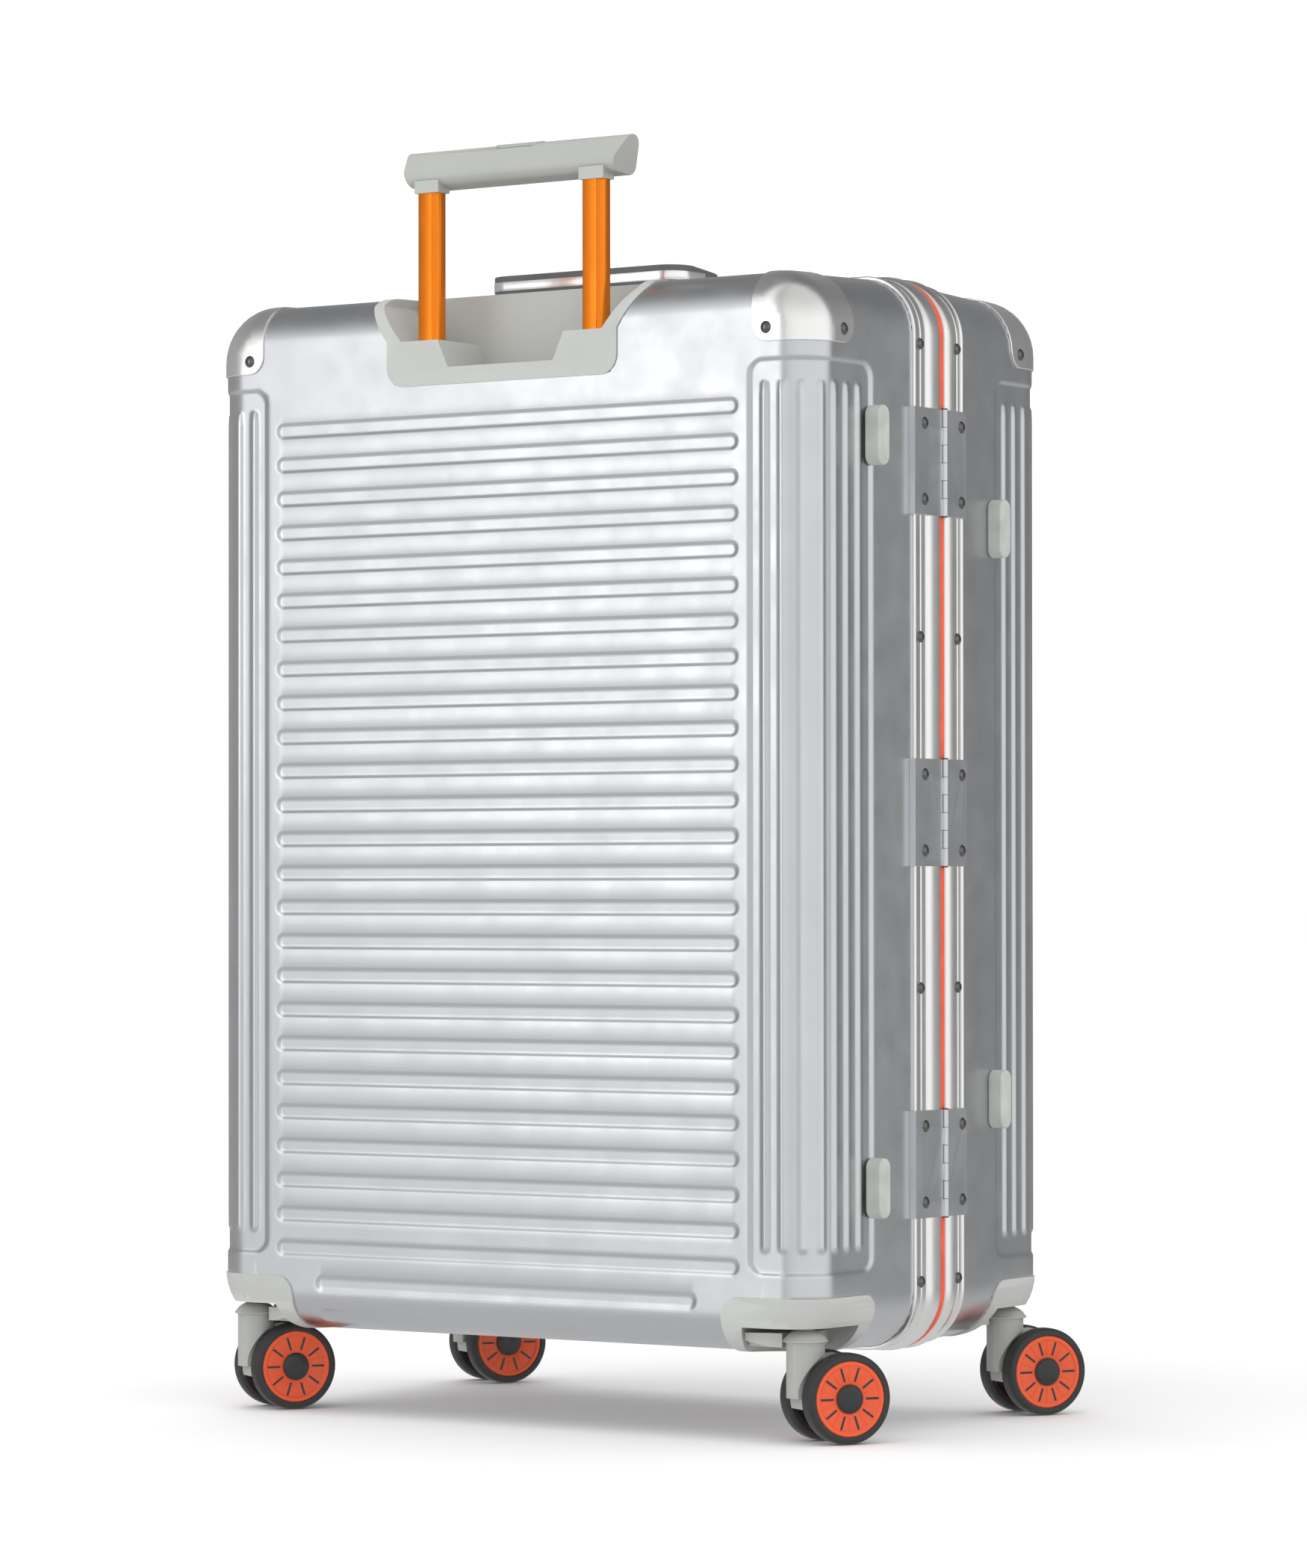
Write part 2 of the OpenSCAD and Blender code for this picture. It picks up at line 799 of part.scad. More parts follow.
// A carry handle folded back: a bar and two legs, with an eye at the end of each leg
module bail() {
    eye = [for (i = [0:8]) [
        -bail_pivot_y + bail_eye_r * sin(22.5 * i),
        bail_pivot_h - bail_eye_r * cos(22.5 * i)
    ]];
    long = 2 * bail_reach;
    bar_front = -bail_reach + bail_bar;
    difference() {
        intersection() {
            slab_z(bail_under, bail_top) difference() {
                polygon(rounded_points(2 * bail_half_l, long, bail_bar));
                translate([0, bail_bar])
                    polygon(rounded_points(2 * (bail_half_l - bail_leg), long, bail_bar / 2));
            }
            slab_x(-far, far) polygon(concat(
                [
                    [bar_front + 4, bail_top],
                    [-bail_reach - 1, bail_top],
                    [-bail_reach - 1, bail_under],
                    [bar_front + 4, bail_under],
                    [-bail_pivot_y - 6, bail_pivot_h - bail_eye_r]
                ],
                eye
            ));
        }
        translate([-far / 2, -bail_pivot_y, bail_pivot_h])
            rotate([0, 90, 0])
                cylinder(d = bail_pin_d + 2 * run_gap, h = far);
    }
}

// The two lugs on the bead that a carry handle turns on
module bail_brackets() {
    lug_gap = 0.3;
    lug_w = 10;
    for (sx = [0, 1]) mirror([sx, 0, 0]) {
        x0 = bail_half_l - bail_leg - lug_gap - lug_w;
        translate([x0, -rear_bead_len, 0]) cube([lug_w, 2 * (rear_bead_len - bail_pivot_y), bail_pivot_h]);
        translate([x0, -bail_pivot_y, bail_pivot_h]) rotate([0, 90, 0]) {
            cylinder(r = bail_eye_r, h = lug_w);
            cylinder(d = bail_pin_d, h = lug_w + lug_gap + bail_leg);
        }
    }
}

module handle_brackets() {
    color("dimgray") {
        on_top() bail_brackets();
        on_latch_side() bail_brackets();
    }
}

module top_handle() {
    color("dimgray") on_top() bail();
}

module side_handle() {
    color("dimgray") on_latch_side() bail();
}

// ---- Latches ----

lever_pin_y = seam_y + 23;
lever_pin_d = 3;
lever_eye_r = 3;
lever_x = -(half_w + leaf_h + lever_eye_r + 0.2);
lever_t = 2.4;
lug_h = (latch_h - lever_h) / 2;

module latch_plates() {
    plate_y0 = seam_y + seal_half + 2.2;
    color("silver") for (dz = [-latch_z, latch_z])
        translate([0, 0, mid_z + dz - latch_h / 2]) {
            linear_extrude(latch_h) polygon([
                [-half_w - leaf_h, plate_y0],
                [-half_w - leaf_h, lever_pin_y + lever_eye_r + 2],
                [-half_w - band_h, lever_pin_y + lever_eye_r + 2],
                [-half_w - band_h, seam_y + front_lip_len],
                [-half_w - bead_h, seam_y + front_lip_len],
                [-half_w - bead_h, plate_y0]
            ]);
            for (z = [0, latch_h - lug_h + 0.2])
                translate([lever_x, lever_pin_y - lever_eye_r, z])
                    cube([-half_w - leaf_h - lever_x, 2 * lever_eye_r, lug_h - 0.2]);
            translate([lever_x, lever_pin_y, 0]) cylinder(d = lever_pin_d, h = latch_h);
            for (z = [0, latch_h - lug_h + 0.2])
                translate([lever_x, lever_pin_y, z]) cylinder(r = lever_eye_r, h = lug_h - 0.2);
        }
}

module latch_lever(z) {
    tip = 0.3;
    translate([0, 0, z - lever_h / 2]) difference() {
        union() {
            translate([lever_x, lever_pin_y, 0]) cylinder(r = lever_eye_r, h = lever_h);
            translate([lever_x - lever_eye_r, seam_y - rear_bead_len + tip, 0])
                cube([lever_t, lever_pin_y - seam_y + rear_bead_len - tip, lever_h]);
        }
        translate([lever_x, lever_pin_y, -1]) cylinder(d = lever_pin_d + 2 * run_gap, h = lever_h + 2);
    }
}

module upper_latch_lever() {
    color("gray") latch_lever(mid_z + latch_z);
}

module lower_latch_lever() {
    color("gray") latch_lever(mid_z - latch_z);
}

// Hooks on the rear bead that the levers close over
module latch_keepers() {
    hook_x = lever_x - lever_eye_r + lever_t + 0.3;
    color("gray") for (dz = [-latch_z, latch_z])
        translate([hook_x, seam_y - rear_bead_len + 1, mid_z + dz - lever_h / 2])
            cube([-half_w - bead_h - hook_x, rear_bead_len - seal_half - 4, lever_h]);
}

// ---- Casters ----

boss_top = ground_clearance + 44;
housing_skin = 1.2;
housing_wall = 3;
boss_wall = 5;
stem_flange_z = ground_clearance + 11;
stem_d = 25;
dome_d = 29.4;
dome_gap = 0.7;
ceiling_z = ground_clearance + pocket_h;
pin_top = boss_top - 4;
wheel_r = wheel_d / 2;
axle_half = wheel_pair / 2 + 3.5;
// The pocket widens at its mouth, where the tyres pass
mouth_r = pocket_r + 2;
mouth_z = ground_clearance + 2.5;

function stem_place(sx, side) = [sx * (half_w - stem_inset), face_y(side) - side * stem_inset, 0];

module caster_housing(sx, side) {
    stem = stem_place(sx, side);
    color("lightgray") difference() {
        union() {
            intersection() {
                skin(side, housing_skin);
                corner_region(sx, side, housing_reach, housing_top, -1, housing_r);
            }
            intersection() {
                half_form(side, housing_skin / 2);
                difference() {
                    corner_region(
                        sx, side, housing_reach - flange - set_gap, housing_top - flange - set_gap, -1,
                        housing_r - flange / 2
                    );
                    difference() {
                        half_form(side, -housing_wall, 0, 2 * edge_gap);
                        translate(stem) cylinder(r = pocket_r + housing_wall, h = ceiling_z + housing_wall);
                    }
                }
            }
            translate([stem.x, stem.y, ceiling_z + 1])
                cylinder(d = pin_d + 2 * boss_wall, h = boss_top - ceiling_z - 1);
        }
        translate([stem.x, stem.y, -1]) cylinder(r = pocket_r, h = ceiling_z + 1);
        translate([stem.x, stem.y, 0]) cylinder(r = mouth_r, h = mouth_z);
        translate([stem.x, stem.y, mouth_z - eps]) cylinder(r1 = mouth_r, r2 = pocket_r, h = 4);
        translate([stem.x, stem.y, 0]) cylinder(d = pin_d + 2 * run_gap, h = pin_top + 1);
    }
}

// Puts children in a caster's own frame: the stem is on Z and the axle trails on +X
module at_caster(sx, side) {
    translate(stem_place(sx, side)) rotate([0, 0, heading]) children();
}

// A cylinder along the axle's line
module across(r, half) {
    translate([trail, half, wheel_r]) rotate([90, 0, 0]) cylinder(r = r, h = 2 * half, $fn = 64);
}

module fork(sx, side) {
    body_half = wheel_pair / 2 - wheel_w / 2 - 1;
    guard_r = wheel_r - 1.5;
    color("lightgray") at_caster(sx, side) difference() {
        union() {
            translate([0, 0, wheel_r]) cylinder(d = pin_d, h = pin_top - wheel_r);
            translate([0, 0, stem_flange_z])
                cylinder(d1 = dome_d, d2 = dome_d / 3, h = ceiling_z - dome_gap - stem_flange_z);
            translate([0, 0, wheel_r]) cylinder(d = stem_d, h = stem_flange_z - wheel_r);
            intersection() {
                across(guard_r, body_half);
                translate([-stem_d / 2, -body_half, wheel_r - 7]) cube([trail + 14, 2 * body_half, wheel_d]);
            }
        }
        for (sy = [-1, 1]) translate([0, sy * (body_half + 15), 0]) across(wheel_r + 1.2, 15);
        across(axle_d / 2, far / 2);
    }
}

module axle(sx, side) {
    color("gray") at_caster(sx, side) across(axle_d / 2, axle_half);
}

// One wheel disc: end -1 is wheel a and end 1 is wheel b
module wheel_disc(sx, side, end) {
    color("orangered") at_caster(sx, side) difference() {
        translate([0, end * wheel_pair / 2, 0]) across(disc_d / 2, wheel_w / 2 - 0.3);
        across(axle_d / 2 + run_gap, axle_half + 0.5);
    }
}

module tyre(sx, side, end) {
    round_r = 3.5;
    outer = [for (i = [0:5]) [
        wheel_r - round_r + round_r * cos(18 * i), wheel_w / 2 - round_r + round_r * sin(18 * i)
    ]];
    bore = [disc_d / 2 + run_gap, wheel_w / 2];
    edge = concat([[bore.x, -bore.y]], [for (i = [5:-1:0]) [outer[i].x, -outer[i].y]], outer, [bore]);
    color("black") at_caster(sx, side)
        translate([trail, end * wheel_pair / 2, wheel_r])
            rotate([90, 0, 0])
                rotate_extrude($fn = 96)
                    polygon(edge);
}

rear_shell();
rear_frame();
frame_seal();
rear_corner_caps();
rear_rivets();
rear_hinge_leaves();
hinge_pins();
rear_side_feet();
handle_cup();
guide_tubes();
tube_bracket();
handle_brackets();
latch_keepers();
rear_lining();
packing_straps();
front_shell();
front_frame();
front_corner_caps();
front_rivets();
front_hinge_leaves();
front_side_feet();
latch_plates();
front_lining();
middle_tubes();
inner_tubes();
handle_grip();
grip_button();
top_handle();
side_handle();
upper_latch_lever();
lower_latch_lever();
caster_housing(1, REAR);  // rear_right_housing
fork(1, REAR);  // rear_right_fork
axle(1, REAR);  // rear_right_axle
wheel_disc(1, REAR, -1);  // rear_right_wheel_a
tyre(1, REAR, -1);  // rear_right_tyre_a
wheel_disc(1, REAR, 1);  // rear_right_wheel_b
tyre(1, REAR, 1);  // rear_right_tyre_b
caster_housing(-1, REAR);  // rear_left_housing
fork(-1, REAR);  // rear_left_fork
axle(-1, REAR);  // rear_left_axle
wheel_disc(-1, REAR, -1);  // rear_left_wheel_a
tyre(-1, REAR, -1);  // rear_left_tyre_a
wheel_disc(-1, REAR, 1);  // rear_left_wheel_b
tyre(-1, REAR, 1);  // rear_left_tyre_b
caster_housing(1, FRONT);  // front_right_housing
fork(1, FRONT);  // front_right_fork
axle(1, FRONT);  // front_right_axle
wheel_disc(1, FRONT, -1);  // front_right_wheel_a
tyre(1, FRONT, -1);  // front_right_tyre_a
wheel_disc(1, FRONT, 1);  // front_right_wheel_b
tyre(1, FRONT, 1);  // front_right_tyre_b
caster_housing(-1, FRONT);  // front_left_housing
fork(-1, FRONT);  // front_left_fork
axle(-1, FRONT);  // front_left_axle
wheel_disc(-1, FRONT, -1);  // front_left_wheel_a
tyre(-1, FRONT, -1);  // front_left_tyre_a
wheel_disc(-1, FRONT, 1);  // front_left_wheel_b
tyre(-1, FRONT, 1);  // front_left_tyre_b
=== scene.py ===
import json
import math

import bmesh
import bpy
import numpy as np
from bpy.props import FloatProperty, FloatVectorProperty, PointerProperty
from mathutils import Matrix, Vector


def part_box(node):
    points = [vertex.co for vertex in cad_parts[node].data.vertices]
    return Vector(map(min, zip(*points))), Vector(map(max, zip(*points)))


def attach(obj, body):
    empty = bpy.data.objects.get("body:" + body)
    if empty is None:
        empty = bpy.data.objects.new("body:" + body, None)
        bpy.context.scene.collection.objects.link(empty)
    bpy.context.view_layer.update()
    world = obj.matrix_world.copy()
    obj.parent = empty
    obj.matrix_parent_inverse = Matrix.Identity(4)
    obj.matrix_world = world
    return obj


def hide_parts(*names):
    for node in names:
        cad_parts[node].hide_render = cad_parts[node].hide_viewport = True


bl_info = {
    "name": "Hard Shell Suitcase",
    "version": (1, 0, 0),
    "blender": (4, 5, 0),
    "location": "View3D > Sidebar > Suitcase",
    "description": "Builds the finished surfaces of a hinged aluminium suitcase on casters",
    "category": "Add Mesh",
}

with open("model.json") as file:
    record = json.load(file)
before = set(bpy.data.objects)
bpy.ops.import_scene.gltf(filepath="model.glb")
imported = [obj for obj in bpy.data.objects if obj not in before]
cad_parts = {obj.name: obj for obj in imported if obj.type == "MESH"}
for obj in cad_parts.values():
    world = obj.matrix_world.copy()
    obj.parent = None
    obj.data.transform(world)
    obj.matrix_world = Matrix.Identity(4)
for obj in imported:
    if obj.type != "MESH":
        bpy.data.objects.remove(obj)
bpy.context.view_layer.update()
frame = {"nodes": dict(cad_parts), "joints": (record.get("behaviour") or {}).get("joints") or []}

# Lengths below are in millimetres and become metres when a piece is made
MM = 0.001
REAR = -1
FRONT = 1
JOINTS = {joint["name"]: joint for joint in frame["joints"]}

rear_low, rear_high = (np.array(corner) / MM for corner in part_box("rear_shell"))
HALF_W = rear_high[0]
BASE_Z = rear_low[2]
TOP_Z = rear_high[2]
MID_Z = (BASE_Z + TOP_Z) / 2
HALF_H = (TOP_Z - BASE_Z) / 2
REAR_Y = rear_low[1]
FRONT_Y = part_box("front_shell")[1][1] / MM
SEAM_Y = JOINTS["case_hinge"]["pos_m"][1] / MM
# Roundings of the shells, the lean of their sides, and how far their edges stay from the seam
CORNER_R = 38
EDGE_R = 27
FLAT_R = CORNER_R - EDGE_R
DRAFT = 3
BEND_LEN = EDGE_R * math.pi / 2
SHEET_EDGE = {REAR: 18.5, FRONT: 15.9}
FRAME_EDGE = {REAR: 32.7, FRONT: 28.6}
# The long grooves, and the short ones below them and, in front, above them
GROOVE_TOP = TOP_Z - 90
GROOVE_PITCH = 23.125
GROOVE_R = 5.3
LONG_GROOVES = 25
LONG_HALF = 188.3
SHORT_GROOVES = 2
SHORT_HALF = 155
# Openings for the handle's cup and for the caster housings
CUP_HALF_W = 94
CUP_TOP_HALF_W = 112
CUP_DEPTH = 54
CUP_R = 13
CUP_FOOT_Z = TOP_Z - 64.7
SHELF_Z = TOP_Z - 34.5
HOUSING_REACH = 73
HOUSING_TOP = BASE_Z + 39
HOUSING_R = 13


# ---- Sizes and colours ----

class SuitcaseSizes(bpy.types.PropertyGroup):
    groove_depth: FloatProperty(
        name="Groove depth", description="Depth of the pressed horizontal grooves",
        default=1.1 * MM, min=0, max=2 * MM, unit="LENGTH")
    panel_depth: FloatProperty(
        name="Corner panel depth", description="Depth of the pressed panels round the upright corners",
        default=1.2 * MM, min=0, max=2 * MM, unit="LENGTH")
    flute_height: FloatProperty(
        name="Flute height", description="Height of the upright flutes in the corner panels",
        default=1.5 * MM, min=0, max=2 * MM, unit="LENGTH")
    sheet_thickness: FloatProperty(
        name="Sheet thickness", description="Thickness of the aluminium sheet",
        default=1.2 * MM, min=0.5 * MM, max=2 * MM, unit="LENGTH")
    edge_round: FloatProperty(
        name="Edge rounding", description="Radius of the small roundings on moulded and cast pieces",
        default=0.6 * MM, min=0.1 * MM, max=2 * MM, unit="LENGTH")


def colour_property(name, description, default):
    return FloatVectorProperty(name=name, description=description, default=default, size=3,
                               min=0, max=1, subtype="COLOR")


class SuitcaseColours(bpy.types.PropertyGroup):
    shell: colour_property("Shell", "Anodised aluminium of the shells", (0.66, 0.675, 0.695))
    frame: colour_property("Frame", "Polished aluminium of the frames", (0.92, 0.92, 0.91))
    accent: colour_property("Tubes", "Anodised colour of the telescopic tubes", (0.90, 0.24, 0.02))
    seal: colour_property("Seal", "Rubber seal between the halves", (0.93, 0.11, 0.04))
    disc: colour_property("Wheel discs", "Plastic of the wheel discs", (0.80, 0.10, 0.025))
    plastic: colour_property("Light plastic", "Cup, grip and caster housings", (0.48, 0.49, 0.47))
    grip: colour_property("Grip", "Pull handle's grip", (0.40, 0.41, 0.385))
    foot: colour_property("Feet", "Rubber of the side feet", (0.55, 0.575, 0.53))
    dark: colour_property("Dark plastic", "Carry handles", (0.13, 0.13, 0.135))
    lining: colour_property("Lining", "Woven lining", (0.045, 0.048, 0.055))


# ---- Materials ----

def set_range(node, low, high, to_low, to_high):
    for key, number in zip(("From Min", "From Max", "To Min", "To Max"), (low, high, to_low, to_high)):
        node.inputs[key].default_value = number


class Finish:
    """A procedural material under construction."""

    def __init__(self, name, colour, roughness, metallic=0.0):
        self.material = bpy.data.materials.new(name)
        self.material.use_nodes = True
        self.tree = self.material.node_tree
        self.shader = self.tree.nodes["Principled BSDF"]
        self.shader.inputs["Metallic"].default_value = metallic
        self.colour = tuple(colour) + (1,)
        self.roughness = roughness
        self.shader.inputs["Base Color"].default_value = self.colour
        self.shader.inputs["Roughness"].default_value = roughness
        self.place = self.add("ShaderNodeTexCoord").outputs["Object"]
        self.heights = []

    def add(self, kind, **settings):
        node = self.tree.nodes.new(kind)
        for key, value in settings.items():
            setattr(node, key, value)
        return node

    def link(self, output, node_input):
        self.tree.links.new(output, node_input)

    def stretched(self, stretch):
        mapping = self.add("ShaderNodeMapping")
        mapping.inputs["Scale"].default_value = stretch
        self.link(self.place, mapping.inputs["Vector"])
        return mapping.outputs["Vector"]

    def noise(self, scale, detail=4, stretch=None):
        node = self.add("ShaderNodeTexNoise")
        node.inputs["Scale"].default_value = scale
        node.inputs["Detail"].default_value = detail
        self.link(self.stretched(stretch) if stretch else self.place, node.inputs["Vector"])
        return node.outputs["Fac"]

    def cells(self, scale, feature="F1"):
        node = self.add("ShaderNodeTexVoronoi", feature=feature)
        node.inputs["Scale"].default_value = scale
        self.link(self.place, node.inputs["Vector"])
        return node.outputs["Distance"]

    def waves(self, scale, direction, distortion=0.0):
        node = self.add("ShaderNodeTexWave", bands_direction=direction)
        node.inputs["Scale"].default_value = scale
        node.inputs["Distortion"].default_value = distortion
        self.link(self.place, node.inputs["Vector"])
        return node.outputs["Fac"]

    def worn_edges(self):
        """1 along sharp outer edges and 0 elsewhere."""
        return self.ranged(self.add("ShaderNodeNewGeometry").outputs["Pointiness"], 0.51, 0.58, 0, 1)

    def ranged(self, value, low, high, to_low, to_high):
        node = self.add("ShaderNodeMapRange")
        set_range(node, low, high, to_low, to_high)
        self.link(value, node.inputs["Value"])
        return node.outputs["Result"]

    def combine(self, a, b, operation="ADD"):
        node = self.add("ShaderNodeMath", operation=operation)
        self.link(a, node.inputs[0])
        self.link(b, node.inputs[1])
        return node.outputs[0]

    def tint(self, factor, gain):
        """Blends the base colour towards gain times itself."""
        node = self.add("ShaderNodeMix", data_type="RGBA")
        self.link(factor, node.inputs["Factor"])
        source = self.shader.inputs["Base Color"]
        if source.is_linked:
            self.link(source.links[0].from_socket, node.inputs[6])
        else:
            node.inputs[6].default_value = self.colour
        node.inputs[7].default_value = tuple(min(1, c * gain) for c in self.colour[:3]) + (1,)
        self.link(node.outputs[2], source)

    def vary_roughness(self, factor, low, high):
        self.link(self.ranged(factor, 0.3, 0.7, low, high), self.shader.inputs["Roughness"])

    def bump(self, height, distance, strength=1.0):
        """Adds a bump on top of those the finish already has."""
        node = self.add("ShaderNodeBump")
        node.inputs["Distance"].default_value = distance
        node.inputs["Strength"].default_value = strength
        self.link(height, node.inputs["Height"])
        if self.heights:
            self.link(self.heights[-1].outputs["Normal"], node.inputs["Normal"])
        self.heights.append(node)
        self.link(node.outputs["Normal"], self.shader.inputs["Normal"])


def anodised_sheet(name, colour, roughness, brushing=(1, 1, 1), grain=900):
    """Matt anodised aluminium with a fine etched grain and faint cloudiness."""
    finish = Finish(name, colour, roughness, metallic=1.0)
    clouds = finish.noise(9, 3)
    etched = finish.noise(grain, 2, brushing)
    finish.tint(finish.ranged(clouds, 0.35, 0.65, 0, 1), 0.97)
    finish.tint(finish.worn_edges(), 1.12)
    finish.vary_roughness(finish.noise(40, 5), roughness - 0.04, roughness + 0.05)
    finish.bump(etched, 0.006 * MM, 0.5)
    return finish.material


def moulded_plastic(name, colour, roughness, grain=1400):
    """Moulded plastic with a spark-eroded grain and lighter rubbed edges."""
    finish = Finish(name, colour, roughness)
    finish.tint(finish.ranged(finish.noise(18, 4), 0.35, 0.65, 0, 1), 0.95)
    finish.tint(finish.worn_edges(), 1.10)
    finish.vary_roughness(finish.noise(120, 4), roughness - 0.06, roughness + 0.06)
    finish.bump(finish.cells(grain), 0.03 * MM, 0.35)
    return finish.material


def rubber(name, colour, roughness):
    """Matt rubber with a fine grain and darker clouds."""
    finish = Finish(name, colour, roughness)
    finish.tint(finish.ranged(finish.noise(60, 5), 0.35, 0.65, 0, 1), 0.82)
    finish.vary_roughness(finish.noise(300, 3), roughness - 0.08, roughness + 0.05)
    finish.bump(finish.noise(1800, 3), 0.03 * MM, 0.5)
    return finish.material


def woven_cloth(name, colour, threads):
    """Plain weave: two crossed sets of threads with uneven yarn."""
    finish = Finish(name, colour, 0.85)
    cross = finish.combine(finish.waves(threads, "X", 0.6), finish.waves(threads, "Z", 0.6), "MULTIPLY")
    depth_wise = finish.combine(cross, finish.waves(threads, "Y", 0.6))
    finish.tint(finish.ranged(depth_wise, 0.1, 1.2, 0, 1), 1.9)
    finish.tint(finish.ranged(finish.noise(35, 4), 0.35, 0.65, 0, 1), 0.92)
    finish.vary_roughness(finish.noise(400, 3), 0.78, 0.95)
    finish.bump(depth_wise, 0.15 * MM, 0.6)
    finish.shader.inputs["Sheen Weight"].default_value = 0.25
    return finish.material


def brushed_metal(name, colour, roughness, stretch=(0.08, 0.08, 1)):
    """Bare metal with fine lines and lighter rubbed edges."""
    finish = Finish(name, colour, roughness, metallic=1.0)
    lines = finish.noise(1500, 3, stretch)
    finish.tint(finish.ranged(lines, 0.3, 0.7, 0, 1), 0.86)
    finish.tint(finish.worn_edges(), 1.15)
    finish.vary_roughness(finish.noise(60, 5), roughness - 0.05, roughness + 0.06)
    finish.bump(lines, 0.01 * MM, 0.5)
    return finish.material


MATERIALS = {}


def finishes():
    """The object's materials by name, made once."""
    if not MATERIALS:
        hues = bpy.context.scene.suitcase_colours
        MATERIALS.update(
            shell_aluminium=anodised_sheet("shell_aluminium", hues.shell, 0.30),
            frame_aluminium=anodised_sheet("frame_aluminium", hues.frame, 0.24, (1, 1, 1), 2400),
            seal_rubber=rubber("seal_rubber", hues.seal, 0.42),
            rivet_steel=brushed_metal("rivet_steel", (0.17, 0.165, 0.17), 0.12, (1, 1, 1)),
            cup_plastic=moulded_plastic("cup_plastic", hues.plastic, 0.42),
            grip_plastic=moulded_plastic("grip_plastic", hues.grip, 0.4),
            tube_anodised=anodised_sheet("tube_anodised", hues.accent, 0.33, (1, 1, 0.04), 1500),
            guide_metal=brushed_metal("guide_metal", (0.5, 0.5, 0.52), 0.4),
            handle_plastic=moulded_plastic("handle_plastic", hues.dark, 0.45, 1600),
            foot_rubber=rubber("foot_rubber", hues.foot, 0.6),
            lining_fabric=woven_cloth("lining_fabric", hues.lining, 260),
            strap_webbing=woven_cloth("strap_webbing", (0.03, 0.03, 0.032), 420),
            tyre_rubber=rubber("tyre_rubber", (0.028, 0.028, 0.03), 0.5),
            disc_plastic=moulded_plastic("disc_plastic", hues.disc, 0.36),
            axle_steel=brushed_metal("axle_steel", (0.55, 0.55, 0.56), 0.3, (1, 1, 1)),
            latch_metal=brushed_metal("latch_metal", (0.72, 0.73, 0.74), 0.3),
            hub_plastic=moulded_plastic("hub_plastic", (0.02, 0.02, 0.022), 0.3),
        )
    return MATERIALS


# ---- Mesh tools ----

def grid_faces(rows, columns, closed=False):
    """Quads between the rows of a grid of points; closed joins each row's ends."""
    faces = []
    for i in range(rows - 1):
        for j in range(columns if closed else columns - 1):
            k = (j + 1) % columns
            faces.append((i * columns + j, i * columns + k, (i + 1) * columns + k, (i + 1) * columns + j))
    return faces


def end_faces(rows, columns):
    """The faces that close the first and the last of a stack of rings."""
    last = (rows - 1) * columns
    return [tuple(range(columns)), tuple(range(last, last + columns))]


def fill_mesh(name, points, faces, tidy=True):
    """A mesh from points in millimetres; tidy turns all its faces outwards."""
    mesh = bpy.data.meshes.new(name)
    mesh.from_pydata([tuple(point) for point in np.asarray(points) * MM], [], faces)
    work = bmesh.new()
    work.from_mesh(mesh)
    bmesh.ops.remove_doubles(work, verts=work.verts, dist=1e-6)
    if tidy:
        bmesh.ops.recalc_face_normals(work, faces=work.faces)
    work.to_mesh(mesh)
    work.free()
    return mesh


def add_piece(name, mesh, body, slot, replaces=(), material=None, sharp=32):
    """Makes an object of a mesh, gives it its finish and lets it ride on its body."""
    piece = bpy.data.objects.new(name, mesh)
    bpy.context.scene.collection.objects.link(piece)
    mesh.materials.clear()
    mesh.materials.append(material or finishes()[slot])
    mesh.shade_smooth()
    mesh.set_sharp_from_angle(angle=math.radians(sharp))
    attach(piece, body)
    if replaces:
        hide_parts(*replaces)
    return piece


def lathe(profile, steps=64):
    """Points and faces of a profile of (radius, height) turned about Z."""
    turns = np.linspace(0, 2 * math.pi, steps, endpoint=False)
    points = [(r * math.cos(a), r * math.sin(a), z) for r, z in profile for a in turns]
    return np.array(points), grid_faces(len(profile), steps, closed=True)


def join(parts):
    """One list of points and one of faces from several."""
    points, faces, start = [], [], 0
    for part_points, part_faces in parts:
        points.append(np.asarray(part_points, dtype=float))
        faces += [tuple(i + start for i in face) for face in part_faces]
        start += len(part_points)
    return np.concatenate(points), faces


def moved(part, matrix):
    """A part's points carried by a matrix whose translation is in millimetres."""
    points, faces = part
    array = np.array(matrix)
    return points @ array[:3, :3].T + array[:3, 3], faces


def prism(outline, low, high):
    """A closed prism over an XY outline."""
    count = len(outline)
    rings = [np.column_stack([outline, np.full(count, float(z))]) for z in (low, high)]
    faces = grid_faces(2, count, closed=True)
    return np.concatenate(rings), faces + end_faces(2, count)


def rounded_outline(width, height, radius, steps):
    """Points round a rectangle with rounded corners, in order."""
    points = []
    for turn in range(4):
        sx = 1 if turn in (0, 3) else -1
        sy = 1 if turn < 2 else -1
        for i in range(steps + 1):
            a = math.pi / 2 * (turn + i / steps)
            points.append((sx * (width / 2 - radius) + radius * math.cos(a),
                           sy * (height / 2 - radius) + radius * math.sin(a)))
    return points


def sweep_case(profile):
    """A closed profile of (distance from the seam, height over the shell) swept round the case."""
    rings = []
    for y, grow in profile:
        loop = np.array(rounded_outline(2 * (HALF_W + grow), 2 * (HALF_H + grow), CORNER_R + grow, 14))
        rings.append(np.column_stack([loop[:, 0], np.full(len(loop), SEAM_Y + y), loop[:, 1] + MID_Z]))
    rings.append(rings[0])
    return np.concatenate(rings), grid_faces(len(rings), len(rings[0]), closed=True)


